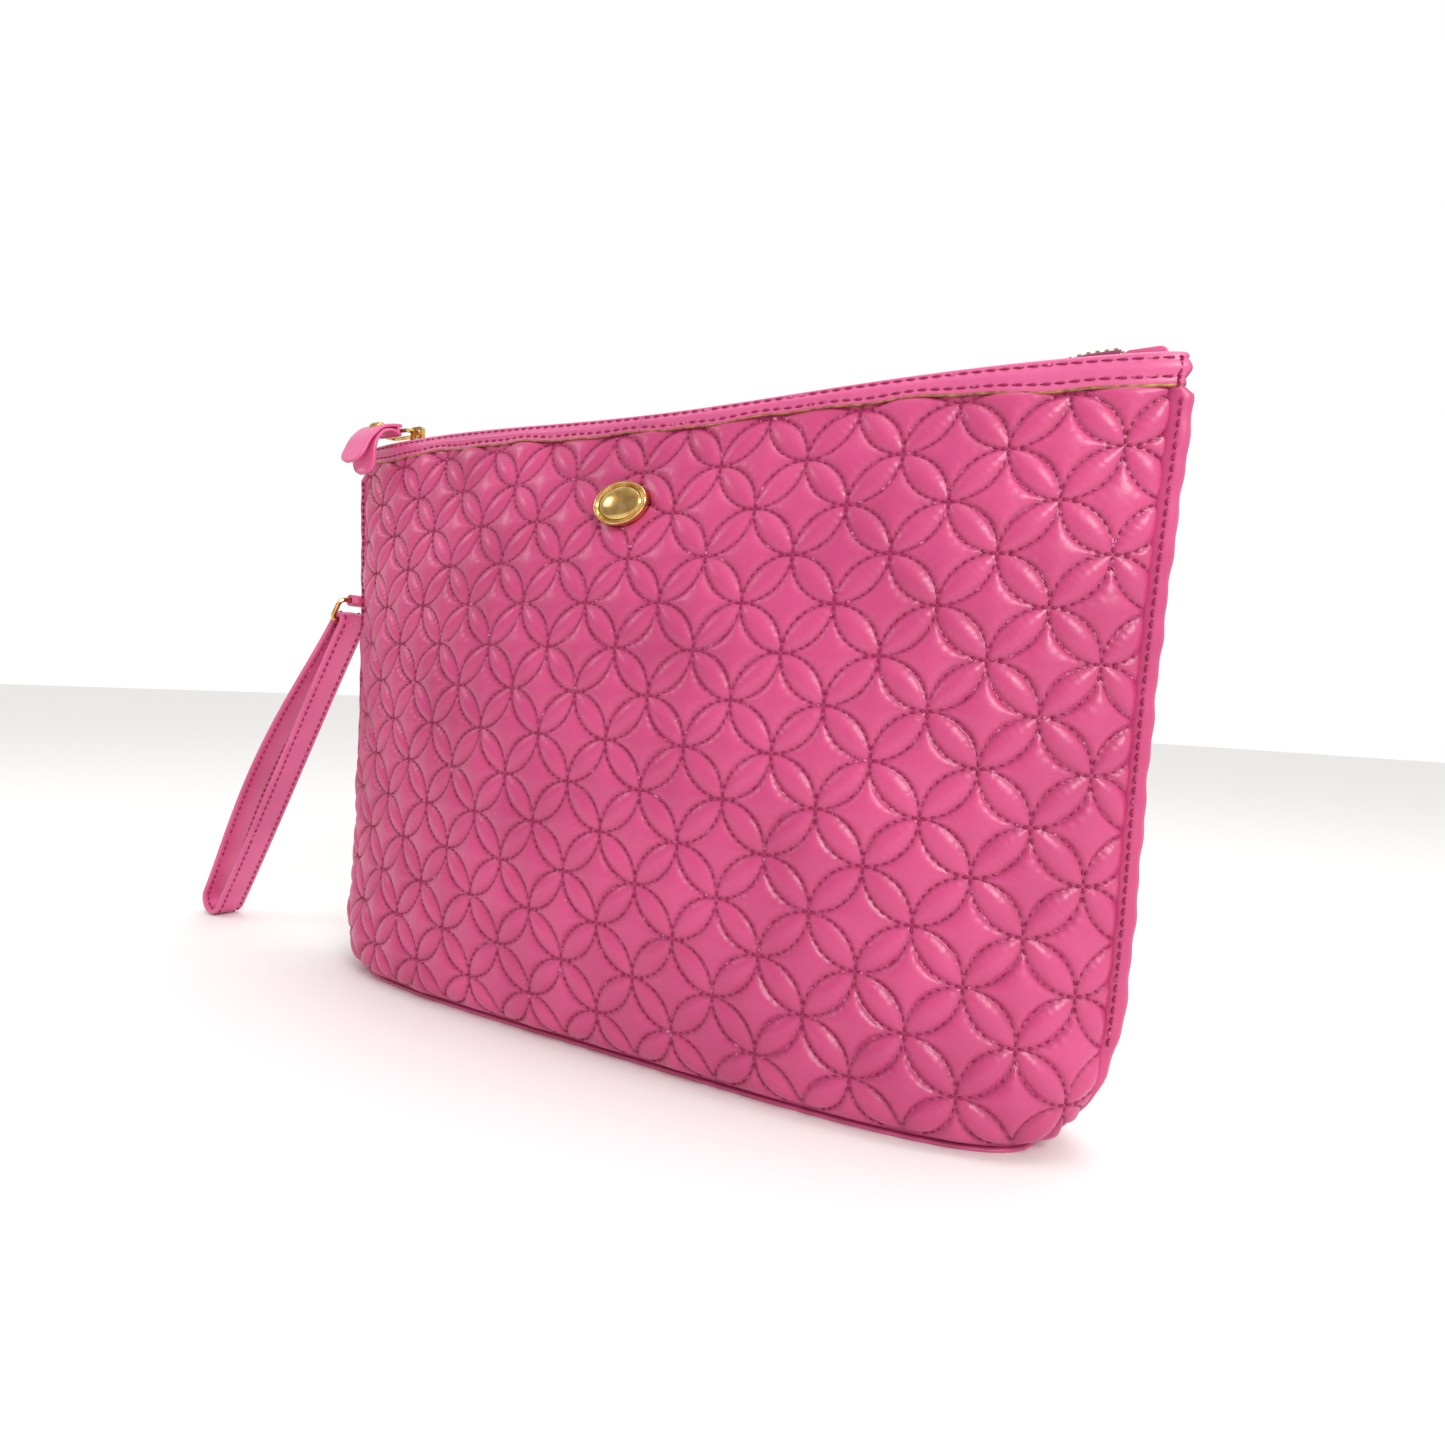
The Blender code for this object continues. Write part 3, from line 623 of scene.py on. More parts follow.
def addStitches(name, centres, normals, radius):
    # centres and normals: one row of four places for each stitch. Its ends go down into the needle holes.
    ways = unit(np.gradient(centres, axis=1))
    across = unit(np.cross(ways, normals))
    up = np.cross(across, ways)
    size = radius * np.array([0.75, 1.0, 1.0, 0.75])[None, :, None, None]
    count, around = len(centres), stitchShape["sides"]
    angle = (np.arange(around) * 2 * math.pi / around)[None, None, :, None]
    ring = np.cos(angle) * across[:, :, None] + np.sin(angle) * up[:, :, None]
    points = centres[:, :, None] + ring * size
    one = np.array(gridFaces(4, around, wrapColumns=True))
    each = 4 * around
    starts = np.arange(count)[:, None] * each
    faceList = (one[None] + starts[:, :, None]).reshape(-1, 4).tolist()
    caps = np.array([list(range(around))[::-1], list(range(each - around, each))])
    faceList += (caps[None] + starts[:, :, None]).reshape(-1, around).tolist()
    return addPiece(name, points.reshape(-1, 3), faceList, threadFinish)


def stationLifts():
    sink, lift = stitchShape["sink"], stitchShape["lift"]
    return np.array([-sink, lift, lift, -sink])


def wallPlace(u, v, face):
    z = heightAt(v)
    w = u / flatWidth(z)
    step = 0.25
    here = skinAt(w, z, face)
    beside = skinAt((u + step) / flatWidth(z), z, face) - skinAt((u - step) / flatWidth(z), z, face)
    lower = heightAt(v + step)
    upper = heightAt(v - step)
    down = skinAt(u / flatWidth(lower), lower, face) - skinAt(u / flatWidth(upper), upper, face)
    normal = unit(np.cross(beside, down))
    outward = np.stack([here[..., 0] * 0.05, here[..., 1], here[..., 2] * 0], -1)
    normal = normal * np.sign((normal * outward).sum(-1, keepdims=True) + 1e-9)
    return here, normal, z


def quiltStitches(face):
    # Every stitched circle, cut to the panel.
    around = quilt["stitchesAround"]
    part = (1 - stitchShape["share"]) / 2
    stations = np.linspace(part, 1 - part, 4)
    turns = (np.arange(around)[:, None] + stations[None]) * 2 * math.pi / around
    found = []
    for i in range(-3, 24):
        for j in range(-3, 17):
            if (i + j) % 2:
                u0, v0 = flatPlaceAt(i, j)
                found.append(
                    np.stack([u0 + quilt["radius"] * np.cos(turns), v0 + quilt["radius"] * np.sin(turns)], -1)
                )
    places = np.concatenate(found)
    u, v = places[..., 0], places[..., 1]
    z = heightAt(v)
    underBand = v - sagAt(u) > bandHeightAt(u) - 0.1
    overBase = v < downAt(bagShape["floorGap"] + 1.5)
    insideSeam = np.abs(u) < flatWidth(z) - 1.4
    return places[(underBand & overBase & insideSeam).all(1)]


for faceName, face in faces:
    places = quiltStitches(face)
    centres, normals, z = wallPlace(places[..., 0], places[..., 1], face)
    ends = wallEnds(places[..., 0], places[..., 1], z, face)[0]
    level = (-quilt["sink"] + 0.2) * ends - 0.2
    centres = centres + normals * (level + stationLifts()[None])[..., None]
    middle = places[..., 0].mean(1)
    for sideName, side in sides:
        mine = middle * side > 0
        name = f"{faceName}_quilt_thread_{sideName}"
        made = addStitches(name, centres[mine], normals[mine], stitchShape["radius"])
        blendWall(made)
print("quilting thread made")


def edgeWave(u):
    slow = np.sin(u / 7.3 + 1.2) + 0.7 * np.sin(u / 3.4 + 0.4)
    return band["wave"] * slow


def bandPoint(u, down, under, face):
    # The lower edge waves, and the top edge stays straighter.
    wave = edgeWave(u * face) * smoothStep(1.0, band["profileHeight"], down)
    z = heightAt(sagAt(u) + down * bandHeightAt(u) / band["profileHeight"]) + wave * 0.8
    w = u / bagShape["halfFlatWidth"]
    ripple = 0.18 * np.sin(u / 4.1) * smoothStep(2.0, band["profileHeight"], down)
    return skinAt(w, z, face, under - ripple)


def sweepBand(name, side, face, reach, down, under, finish):
    count = int(bagShape["halfFlatWidth"] / band["step"]) + 1
    u = np.linspace(0, reach, count)[:, None] * side
    return addSweep(name, bandPoint(u, down, under, face), finish)


def makeBandHalf(name, side, face):
    profile = np.array(bandProfile())[None]
    return sweepBand(name, side, face, 144.6, profile[..., 0], profile[..., 1], smoothLeather)


def makeEdgeBead(name, side, face):
    angle = np.linspace(0, 2 * math.pi, 8, endpoint=False)[None]
    down = band["profileHeight"] + 0.1 + band["edgeRadius"] * np.cos(angle)
    return sweepBand(name, side, face, 144.4, down, -0.45 - 0.62 * np.sin(angle), paintFinish)


def bandStitches(name, side, face):
    centres, normals = [], []
    for row, depth in zip(band["rows"], (-0.66, -0.72)):
        starts = np.arange(0.4, 140.5, band["stitchPitch"])
        stations = np.linspace(0.14, 0.86, 4) * band["stitchPitch"]
        u = (starts[:, None] + stations[None]) * side
        here = bandPoint(u, row, depth, face)
        out = unit(bandPoint(u, row, depth - 1.0, face) - here)
        centres.append(here + out * stationLifts()[None, :, None])
        normals.append(out)
    # A short row down the band's end, where it is sewn to the side seam.
    ladder = np.arange(1.0, 7.0, band["endPitch"])[:, None] + fourAlong[None] * band["endPitch"]
    u = np.full_like(ladder, band["endRow"] * side)
    here = bandPoint(u, ladder, -1.0, face)
    out = unit(bandPoint(u, ladder, -2.0, face) - here)
    centres.append(here + out * stationLifts()[None, :, None])
    normals.append(out)
    return addStitches(name, np.concatenate(centres), np.concatenate(normals), band["stitchRadius"])


for faceName, face, sideName, side in halves:
    half = makeBandHalf(f"{faceName}_band_{sideName}", side, face)
    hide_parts(f"{faceName}_band", f"{sideName}_side_band")
    bead = makeEdgeBead(f"{faceName}_band_edge_{sideName}", side, face)
    rows = bandStitches(f"{faceName}_band_stitches_{sideName}", side, face)
    for piece in (half, bead, rows):
        blendWall(piece)
print("bands made")

# Side seams: the panels' edges stand out together as a padded ridge, with a row of stitches along it.
sideSeam = {"pitch": 2.6, "reach": 3.4, "root": -2.5, "half": 1.6, "low": 4.0, "wave": 0.3, "stitchAt": 0.9}


def seamLine(side, v):
    # Down the side seam in X and Z, with the direction out of the bag.
    z = heightAt(v)
    line = np.stack([side * edgeAt(z), z], -1)
    before, after = heightAt(v - 0.5), heightAt(v + 0.5)
    run = np.stack([side * (edgeAt(after) - edgeAt(before)), after - before], -1)
    run = unit(run)
    return line, np.stack([-run[..., 1], run[..., 0]], -1) * side


def makeSeamRidge(name, side):
    v = np.linspace(9.5, float(downAt(sideSeam["low"])), 130)
    line, out = seamLine(side, v)
    reach = sideSeam["reach"] * smoothStep(9.0, 13.0, v) * smoothStep(v[-1] - 4, v[-1] - 34, v)
    reach = reach + sideSeam["wave"] * np.sin(v / 2.1) * np.sin(v / 5.3 + 1)
    half = sideSeam["half"]
    shape = [(0.0, -half * 1.2), (0.55, -half), (0.9, -half * 0.75), (1.0, 0.0)]
    shape = np.array(shape + [(a, -b) for a, b in shape[2::-1]])
    along = sideSeam["root"] + (reach - sideSeam["root"])[:, None] * shape[None, :, 0]
    place = line[:, None] + out[:, None] * along[..., None]
    across = np.broadcast_to(shape[None, :, 1:], (len(v), len(shape), 1))
    points = np.concatenate([place[..., :1], across, place[..., 1:]], -1)
    return addSweep(name, points, quiltedLeather)


def makeSeamStitches(name, side):
    first, last = 13.0, float(downAt(28.0))
    pitch = sideSeam["pitch"]
    v = np.arange(first, last, pitch)[:, None] + np.linspace(0.12, 0.8, 4)[None] * pitch
    line, out = seamLine(side, v)
    place = line + out * sideSeam["stitchAt"]
    y = -(sideSeam["half"] * 1.02 + stationLifts())[None] * np.ones_like(v)
    centres = np.stack([place[..., 0], y, place[..., 1]], -1)
    normals = np.broadcast_to(np.array([0.0, -1.0, 0.0]), centres.shape)
    return addStitches(name, centres, normals, stitchShape["radius"])


for sideName, side in sides:
    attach(makeSeamRidge(f"{sideName}_seam_ridge", side), "bag_base")
    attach(makeSeamStitches(f"{sideName}_seam_stitches", side), "bag_base")
print("seams made")

# Lining: woven cloth hung inside from the band, with soft folds.
lining = {"under": 4.1, "thick": 0.5, "topGap": 4.0, "fold": 0.8}


def makeLiningHalf(name, side, face):
    rows, columns = 47, 37
    w = np.linspace(0, 1, columns)[None] * side * np.ones((rows, 1))
    bottom = downAt(4.2)
    top = sagAt(w * bagShape["halfFlatWidth"]) + lining["topGap"]
    v = top + (bottom - top) * np.linspace(0, 1, rows)[:, None]
    z = heightAt(v)
    u = w * flatWidth(z)
    hang = smoothStep(0, 25, v - top) * smoothStep(0, 12, bottom - v)
    folds = lining["fold"] * (np.sin(u / 9 + 0.02 * v) + 0.6 * np.sin(u / 5.3 + v / 31)) * hang
    under = lining["under"] + np.maximum(0, folds)
    front = skinAt(w, z, face, under)
    back = skinAt(w, z, face, under + lining["thick"])
    points = np.concatenate([front.reshape(-1, 3), back.reshape(-1, 3)])
    n = rows * columns
    faceList = gridFaces(rows, columns) + gridFaces(rows, columns, True, n)
    loop = list(range(columns)) + [k * columns + columns - 1 for k in range(1, rows)]
    loop += [(rows - 1) * columns + k for k in range(columns - 2, -1, -1)]
    loop += [k * columns for k in range(rows - 2, 0, -1)]
    faceList += [[a, loop[k - 1], loop[k - 1] + n, a + n] for k, a in enumerate(loop)]
    made = addPiece(name, points, faceList, liningCloth)
    fixNormals(made)
    addFlatMap(made, np.concatenate([np.stack([u, v], -1).reshape(-1, 2)] * 2))
    return made


def addFlatMap(made, flat):
    # The cloth's flat pattern in metres, for its weave.
    layer = made.data.uv_layers.new(name="flat")
    corner = np.zeros(len(made.data.loops), np.int32)
    made.data.loops.foreach_get("vertex_index", corner)
    layer.data.foreach_set("uv", (np.asarray(flat)[corner] * mm).astype(np.float32).ravel())


for faceName, face, sideName, side in halves:
    half = makeLiningHalf(f"{faceName}_lining_{sideName}", side, face)
    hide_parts(f"{faceName}_lining", f"{sideName}_side_lining")
    blendWall(half)
print("lining made")

# Base: a smooth panel with a rolled rim under the walls.
base = {"steps": 160, "inset": 0.4}


def rimOutline(inset):
    # The wall's foot seen from below.
    z = bagShape["floorGap"]
    w = np.linspace(-1, 1, base["steps"] // 2 + 1)
    front = skinAt(w, z, -1, inset)
    back = skinAt(w[::-1], z, 1, inset)[1:-1]
    return np.concatenate([front, back])[:, :2]


def makeBase():
    profile = ((3.0, 0.0), (0.9, 0.0), (0.25, 0.12), (0.0, 0.5), (0.1, 0.85), (0.8, 1.15), (3.0, 1.2))
    rings = []
    for inset, z in profile:
        outline = rimOutline(inset - base["inset"])
        rings.append(np.concatenate([outline, np.full((len(outline), 1), z)], 1))
    return addSweep("base_smooth_panel", rings, smoothLeather)


basePiece = makeBase()
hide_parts("base_panel")
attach(basePiece, "bag_base")
print("base made")

# Zip: cast teeth clamped to a woven tape, and folded leather over its ends.
zipper = {
    "pitch": 2.1,
    "toothLow": 187.45,
    "toothHigh": 189.8,
    "end": 130.6,
    "leftEnd": 121.0,
    "leftTapeEnd": 122.5,
    "firstRight": {-1: 0.6, 1: 1.65},  # the first tooth each way from the middle, by face
    "firstLeft": {-1: 1.5, 1: -0.45},
    "tapeZ": 188.85,
    "tapeThick": 0.55,
    "level": 4.0,
    "climb": 2.2,  # the closed end of the chain stands up to its leather tab
    "climbFrom": 108.0,
    "climbTo": 124.0,
}


def climbAt(x):
    return zipper["climb"] * smoothStep(zipper["climbFrom"], zipper["climbTo"], x)


def makeTeeth(name, side, face):
    # Plan of one tooth: y from the middle line out to the tape, narrow behind its rounded head.
    plan = [(-0.5, 2.6), (-0.5, 1.6), (-0.36, 1.2), (-0.47, 0.7), (-0.3, 0.26)]
    plan = np.array(plan + [(-x, y) for x, y in reversed(plan)])
    levels = ((0.0, 0.82), (0.3, 1.0), (0.75, 1.0), (1.0, 0.78))
    if side > 0:
        centres = np.arange(zipper["firstRight"][face], zipper["end"], zipper["pitch"])
    else:
        centres = -np.arange(zipper["firstLeft"][face], zipper["leftEnd"], zipper["pitch"])
    points, faceList = [], []
    for x in centres:
        start = len(points)
        for rise, size in levels:
            z = zipper["toothLow"] + rise * (zipper["toothHigh"] - zipper["toothLow"]) + climbAt(x)
            for px, py in plan:
                points.append((x + px * size, face * (1.4 + (py - 1.4) * (0.5 + size / 2)), z))
        faceList += sweepFaces(len(levels), len(plan), face > 0, start)
    made = addPiece(name, points, faceList, toothGold, smooth=False)
    fixNormals(made)
    return made


def makeTape(name, side, face):
    reach = zipper["end"] - 0.5 if side > 0 else zipper["leftTapeEnd"]
    x = np.linspace(0, 1, 66)[:, None] * side * reach
    t = np.linspace(0, 1, 13)[None]
    z0 = zipper["tapeZ"] + climbAt(x)
    low = heightAt(sagAt(x) + 3.4)
    share = x / edgeAt(low)
    bandIn = sectionDepth(share, low, halfDepth(low) - 3.3)
    last = np.maximum(bandIn, 4.3)
    y = 2.3 + (last - 2.3) * t
    level = zipper["level"]  # the slider's lips run along the flat part of the tape
    bead = 0.3 * np.exp(-(((y - 2.3) / 0.4) ** 2))
    z = z0 + (low - z0) * smoothStep(level, np.maximum(last, level + 0.8), y) + bead
    top = np.stack([x + 0 * t, face * y, z], -1)
    under = top - [0, 0, zipper["tapeThick"]]
    points = np.concatenate([top, under[:, ::-1]], 1)
    made = addSweep(name, points, tapeCloth)
    flat = np.stack([x + 0 * t, y], -1)
    addFlatMap(made, np.concatenate([flat, flat[:, ::-1]], 1).reshape(-1, 2))
    return made


for faceName, face, sideName, side in halves:
    teeth = makeTeeth(f"{faceName}_teeth_{sideName}", side, face)
    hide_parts(f"{faceName}_zip_teeth", f"{sideName}_{faceName}_zip_teeth")
    tape = makeTape(f"{faceName}_tape_{sideName}", side, face)
    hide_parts(f"{faceName}_zip_tape", f"{sideName}_{faceName}_zip_tape")
    for piece in (teeth, tape):
        blendWall(piece)
print("zip made")

endTab = {"inner": 130.3, "outer": 140.2, "low": 185.5, "high": 191.6, "half": 2.0, "corner": 2.0}


def makeEndTab(name, side):
    # A folded leather fin over the end of the zip, with a rounded outer corner.
    a, b, low, high, c = (endTab[k] for k in ("inner", "outer", "low", "high", "corner"))
    turn = np.linspace(0, math.pi / 2, 6)
    outline = [(a, low), (b, low)] + [(b - c + c * math.cos(t), high - c + c * math.sin(t)) for t in turn]
    outline += [(a + 0.8, high - 0.15), (a, high - 0.9)]
    outline = np.array(outline)
    middle = outline.mean(0)
    rings = []
    for share, y in ((0.82, -1.0), (0.95, -0.9), (1.0, -0.6), (1.0, 0.6), (0.95, 0.9), (0.82, 1.0)):
        ring = middle + (outline - middle) * [1 - (1 - share) * 0.6, 1 - (1 - share) * 0.9]
        rings.append([(side * x, y * endTab["half"], z) for x, z in ring])
    made = addSweep(name, rings, smoothLeather)
    softenEdges(made, 0.25)
    return made


for sideName, side in sides:
    tab = makeEndTab(f"{sideName}_zip_end_fold", side)
    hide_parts(f"{sideName}_end_tab")
    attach(tab, "bag_base")
print("zip ends made")

# Pull tab: one strip of leather folded round the link, its two plies held by a rivet.
pull = {
    "x": -124.7,
    "width": 12.0,
    "ply": 1.25,
    "gap": 0.72,  # from the strip's middle line to each ply's
    "route": ((-4.5, 195.6), (-8.6, 195.7), (-12.8, 194.2), (-16.2, 190.6), (-19.1, 185.8), (-21.8, 180.6)),
    "corner": 4.5,
    "bar": (-4.5, 195.6),
    "splay": 5.2,
    "rivetAt": 0.3,
    "rivetRadius": 2.8,
}


def smoothRoute(points, steps):
    given = np.array(points, float)
    given = np.concatenate([[2 * given[0] - given[1]], given, [2 * given[-1] - given[-2]]])
    route = []
    for a, b, c, d in zip(given, given[1:], given[2:], given[3:]):
        for t in np.arange(steps) / steps:
            bend = (2 * a - 5 * b + 4 * c - d) * t**2 + (3 * b - a - 3 * c + d) * t**3
            route.append(0.5 * (2 * b + (c - a) * t + bend))
    return np.array(route + [given[-2]])


def stripNormals(route):
    way = unit(np.gradient(route, axis=0))
    return np.stack([way[:, 1], -way[:, 0]], -1)


def pullCentreline():
    # From the lower ply's free end, up round the bar, to the upper ply's free end.
    route = smoothRoute(pull["route"], 8)
    normal = stripNormals(route)
    normal = normal * np.where(normal[:, 1:] < 0, -1, 1)
    length = runLength(route)
    along = length / length[-1]
    gap = pull["gap"] + 0.9 * np.exp(-((along / 0.12) ** 2)) + 0.35 * np.exp(-(((along - 0.62) / 0.15) ** 2))
    upper = route + normal * gap[:, None]
    lower = route - normal * (gap + pull["splay"] * smoothStep(0.45, 1.0, along) ** 1.5)[:, None]
    bar = np.array(pull["bar"])
    start, end = lower[1] - bar, upper[1] - bar
    a0, a1 = math.atan2(start[1], start[0]), math.atan2(end[1], end[0])
    turns = np.linspace(a0 + 2 * math.pi, a1, 16)[1:-1]
    reach = [np.hypot(*start), 1.75, 1.75, np.hypot(*end)]
    radius = np.interp(np.linspace(0, 1, 14), [0, 0.15, 0.85, 1], reach)
    fold = bar + np.stack([np.cos(turns), np.sin(turns)], -1) * radius[:, None]
    return np.concatenate([lower[:0:-1], fold, upper[1:]]), route


def makeStrip(name, line, width, thick, xMiddle, finish):
    # A leather strip seen edge on along a line in Y and Z, with softly rounded edges.
    normal = stripNormals(line)
    length = runLength(line)
    toEnd = np.minimum(length, length[-1] - length)
    half = width / 2
    corner = pull["corner"]
    inset = np.maximum(0, corner - toEnd)
    halves = half - corner + np.sqrt(np.maximum(0.35, corner**2 - inset**2))
    shape = [(-1, 0.0), (-0.985, 0.36), (-0.94, 0.47), (-0.6, 0.5)]
    shape += [(0, 0.52), (0.6, 0.5), (0.94, 0.47), (0.985, 0.36)]
    shape = np.array(shape + [(-x, -n) for x, n in shape])
    x = xMiddle + shape[None, :, 0] * halves[:, None]
    place = line[:, None] + normal[:, None] * (shape[None, :, 1:] * thick)
    points = np.concatenate([x[..., None], place], -1)
    return addSweep(name, points, finish)


def turned(name, profile, place, axis, finish, steps=32):
    # A turned piece: profile lists radius and height along the axis.
    axis = unit(np.array(axis, float))
    side = unit(np.cross(axis, [0.3, 0.1, 1.0]))
    other = np.cross(axis, side)
    angle = np.arange(steps) * 2 * math.pi / steps
    ring = np.cos(angle)[:, None] * side + np.sin(angle)[:, None] * other
    points = [np.array(place) + ring * radius + axis * height for radius, height in profile]
    return addSweep(name, points, finish)


pullLine, pullRoute = pullCentreline()
pullPiece = makeStrip("pull_tab_leather", pullLine, pull["width"], pull["ply"], pull["x"], smoothLeather)
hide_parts("pull_tab")
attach(pullPiece, "pull_tab")


def makeRivet():
    # A domed cap with a thin rim on each side of the tab.
    index = int(pull["rivetAt"] * (len(pullRoute) - 1))
    way = unit(pullRoute[index + 1] - pullRoute[index - 1])
    normal = np.array([0.0, -way[1], way[0]])
    normal = normal * np.sign(normal[2])
    place = (pull["x"], *pullRoute[index])
    seat, r = pull["gap"] + pull["ply"] / 2 - 0.05, pull["rivetRadius"]
    cap = [(r, seat - 0.1), (r, seat + 0.2), (r * 0.96, seat + 0.32)]
    cap += [(r * 0.9 * math.cos(a), seat + 0.35 + 0.85 * math.sin(a)) for a in np.linspace(0.1, 1.45, 8)]
    profile = [(h, -k) for h, k in reversed(cap)] + cap
    return turned("pull_rivet_cap", profile, place, normal, plateGold)


rivetPiece = makeRivet()
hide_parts("pull_rivet")
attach(rivetPiece, "pull_tab")
print("pull made")

# Wrist strap: two plies sewn along both edges, folded into a loop through the ring.
strap = {
    "eye": (-145.6, 134.0),
    "foot": (-230.0, 2.35),
    "ringLength": 9.0,
    "ringWire": 0.9,
    "gap": 0.3,
    "width": 12.0,
    "thick": 2.2,
    "open": 5.6,
    "bow": 6.0,  # the leg beside the bag bows towards it
    "stitchPitch": 2.9,
    "stitchRadius": 0.32,
    "stitchIn": 1.9,  # from the strap's edge to its stitching
}


def strapLine():
    # The loop's middle line in X and Z, closed, as the CAD strap runs.
    eye, foot = np.array(strap["eye"]), np.array(strap["foot"])
    down = unit(foot - eye)
    across = np.array([-down[1], down[0]])
    top = eye + down * strap["ringLength"]
    bend = strap["ringWire"] + strap["gap"] + strap["thick"] / 2
    length = np.linalg.norm(foot + [0, strap["open"] + strap["thick"] / 2] - top)
    turns = np.linspace(0, math.pi / 2, 9)
    path = [(-bend * math.cos(a), bend * math.sin(a)) for a in turns[:-1]]
    t = np.linspace(0, 1, 67)
    path += list(zip(length * t, bend + (strap["open"] - bend) * t * t * (3 - 2 * t)))
    path += [(length + strap["open"] * math.sin(a), strap["open"] * math.cos(a)) for a in turns[1:]]
    shares = [min(max(s / length, 0), 1) for s, _ in path]
    other = [(s, -w - strap["bow"] * math.sin(math.pi * k) ** 1.3) for (s, w), k in zip(path, shares)][1:-1]
    path = np.array(path + other[::-1])
    return top + path[:, :1] * down + path[:, 1:] * across


def strapFrames():
    line = strapLine()
    way = unit(np.roll(line, -1, 0) - np.roll(line, 1, 0))
    outward = np.stack([way[:, 1], -way[:, 0]], -1)
    centre = line.mean(0)
    if ((line - centre) * outward).sum() < 0:
        outward = -outward
    return line, outward


def makeStrap():
    line, outward = strapFrames()
    # Across the strap: a rounded painted edge, a groove under the stitches, a fuller middle.
    outer = [(-1.0, 0.0), (-0.985, 0.3), (-0.93, 0.44), (-0.8, 0.45)]
    outer += [(-0.69, 0.36), (-0.58, 0.44), (-0.3, 0.53), (0, 0.56)]
    outer += [(-x, n) for x, n in outer[-2:0:-1]]
    shape = np.array(outer + [(-x, -n) for x, n in outer])
    half, thick = strap["width"] / 2, strap["thick"]
    y = np.broadcast_to(shape[None, :, :1] * half, (len(line), len(shape), 1))
    place = line[:, None] + outward[:, None] * (shape[None, :, 1:] * thick * 0.92)
    points = np.concatenate([place[..., :1], y, place[..., 1:]], -1)
    faceList = gridFaces(len(line), len(shape), wrapColumns=True, wrapRows=True)
    made = addPiece("wrist_strap_leather", points, faceList, smoothLeather)
    fixNormals(made)
    return made


def makeStrapStitches():
    line, outward = strapFrames()
    closed = np.concatenate([line, line[:1]])
    length = runLength(closed)
    count = int(length[-1] / strap["stitchPitch"])
    starts = np.arange(count)[:, None] * length[-1] / count
    s = starts + fourAlong[None] * strap["stitchPitch"]
    place = np.stack([np.interp(s, length, closed[:, k]) for k in (0, 1)], -1)
    closedOut = np.concatenate([outward, outward[:1]])
    out = unit(np.stack([np.interp(s, length, closedOut[:, k]) for k in (0, 1)], -1))
    centres, normals = [], []
    for rowSide in (-1, 1):
        y = np.full(s.shape, rowSide * (strap["width"] / 2 - strap["stitchIn"]))
        for skin in (-1, 1):
            lift = strap["thick"] * 0.36 * 0.92 + stationLifts()[None]
            at = place + out * skin * lift[..., None]
            centres.append(np.stack([at[..., 0], y, at[..., 1]], -1))
            normals.append(np.stack([out[..., 0] * skin, 0 * y, out[..., 1] * skin], -1))
    centres, normals = np.concatenate(centres), np.concatenate(normals)
    return addStitches("wrist_strap_stitches", centres, normals, strap["stitchRadius"])


strapPiece = makeStrap()
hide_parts("wrist_strap")
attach(strapPiece, "wrist_strap")
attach(makeStrapStitches(), "wrist_strap")
print("strap made")


def makeBadge():
    step = 1.0
    slope = float(halfDepth(badge["z"] - step) - halfDepth(badge["z"] + step)) / (2 * step)
    lean = math.atan(slope)
    normal = np.array([0.0, -math.cos(lean), math.sin(lean)])
    up = np.array([0.0, math.sin(lean), math.cos(lean)])
    place = np.array([0.0, -float(halfDepth(badge["z"])), badge["z"]]) + normal * badge["seat"]
    rings = []
    profile = [(1.0, -0.6), (1.0, 0.6), (0.985, 0.82), (0.94, 0.95)]
    profile += [(0.89, 0.9), (0.86, 0.68), (0.83, 0.5), (0.8, 0.5)]
    dome = badge["dome"] * 0.55
    profile += [(0.78 * math.cos(a), 0.55 + dome * math.sin(a)) for a in np.linspace(0.1, 1.4, 10)]
    angle = np.linspace(0, 2 * math.pi, 64, endpoint=False)
    for size, high in profile:
        x, z = badge["half"][0] * size * np.cos(angle), badge["half"][1] * size * np.sin(angle)
        rings.append(place + x[:, None] * [1, 0, 0] + z[:, None] * up + normal * high * badge["thick"])
    return addSweep("oval_badge", rings, plateGold)


badgePiece = makeBadge()
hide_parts("badge_plaque")
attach(badgePiece, "front_wall")
print("badge made")


# CAD nodes that keep their shape get their finish, and some a soft edge.
def dressNode(name, finish, soften=0.0):
    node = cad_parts[name]
    node.data.materials.clear()
    node.data.materials.append(finish)
    if soften:
        softenEdges(node, soften)


for name in ("slider_body", "slider_crown", "pull_link", "strap_ring"):
    dressNode(name, plateGold, 0.25 if "slider" in name else 0.0)
for name in ("zip_top_stop_front", "zip_top_stop_back", "zip_bottom_stop"):
    dressNode(name, toothGold, 0.3)
dressNode("strap_tab", smoothLeather, 0.3)
dressNode("base_board", boardFinish)
dressNode("base_lining", boardFinish)
print("carried-over nodes dressed")

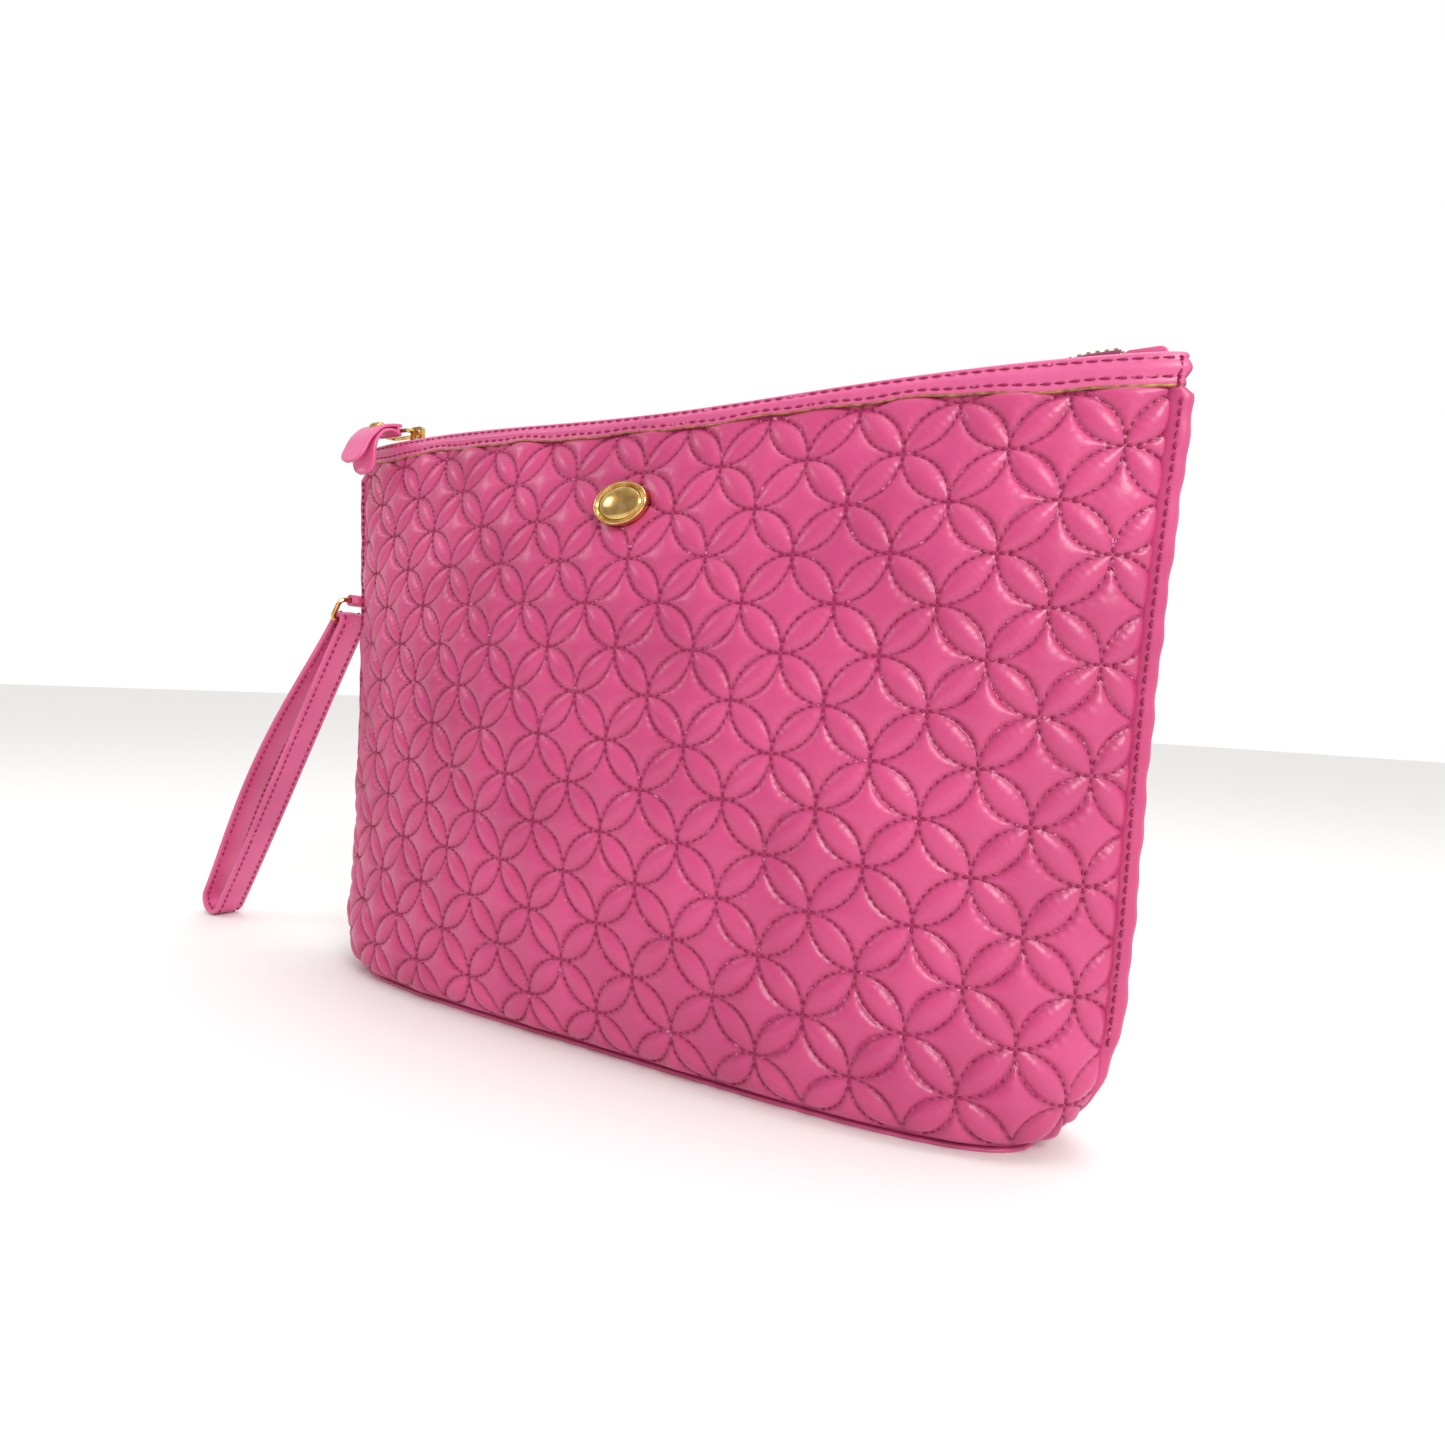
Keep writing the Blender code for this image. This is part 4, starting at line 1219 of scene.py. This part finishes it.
# Studio.
studio = {
    "floor": "#f4f2f0",
    "key": {"place": (0.75, -0.55, 0.7), "size": 0.35, "power": 5.5},
    "top": {"place": (0.25, 0.1, 1.1), "size": 0.5, "power": 3.0},
    "glint": {"place": (-0.8, -0.5, 0.62), "size": 0.22, "power": 1.0},
    "bright": 1.0,
    "dim": 0.45,
    "dimSide": (-0.5, -0.85, 0.1),
}


def makeLight(name, place, size, power):
    data = bpy.data.lights.new(name, "AREA")
    data.energy = power
    data.size = size
    made = bpy.data.objects.new(name, data)
    aim = np.array([0.0, 0.0, 0.09]) - np.array(place)
    back = unit(-aim)
    right = unit(np.cross([0, 0, 1], back))
    up = np.cross(back, right)
    made.matrix_world = Matrix.Translation(place) @ Matrix(np.stack([right, up, back], 1).tolist()).to_4x4()
    bpy.context.scene.collection.objects.link(made)


def makeStudio():
    finish, _, shader = startMaterial("paleFloor", Roughness=0.7)
    shader.inputs["Base Color"].default_value = linear(studio["floor"])
    reach = 4.0
    mesh = bpy.data.meshes.new("floor")
    corners = [(-reach, -reach, 0), (reach, -reach, 0), (reach, reach, 0), (-reach, reach, 0)]
    mesh.from_pydata(corners, [], [(0, 1, 2, 3)])
    mesh.materials.append(finish)
    floor = bpy.data.objects.new("floor", mesh)
    bpy.context.scene.collection.objects.link(floor)
    for name in ("key", "top", "glint"):
        makeLight(name, **studio[name])
    world = bpy.data.worlds.new("studio")
    world.use_nodes = True
    tree = world.node_tree
    # White paper all round, but the studio is open and dim to the left of the bag's front.
    way = addNode(tree, "TexCoord").outputs["Generated"]
    side = addNode(tree, "VectorMath", {1: studio["dimSide"]}, {0: way}, operation="DOT_PRODUCT")
    level = addNode(
        tree,
        "MapRange",
        {"From Min": 0.25, "From Max": 0.9, "To Min": studio["bright"], "To Max": studio["dim"]},
        {"Value": side.outputs["Value"]},
        interpolation_type="SMOOTHSTEP",
    )
    tree.links.new(level.outputs["Result"], tree.nodes["Background"].inputs["Strength"])
    tree.nodes["Background"].inputs["Color"].default_value = linear("#ffffff")
    bpy.context.scene.world = world
    bpy.context.scene.view_settings.view_transform = "Standard"


makeStudio()
print("studio lit")
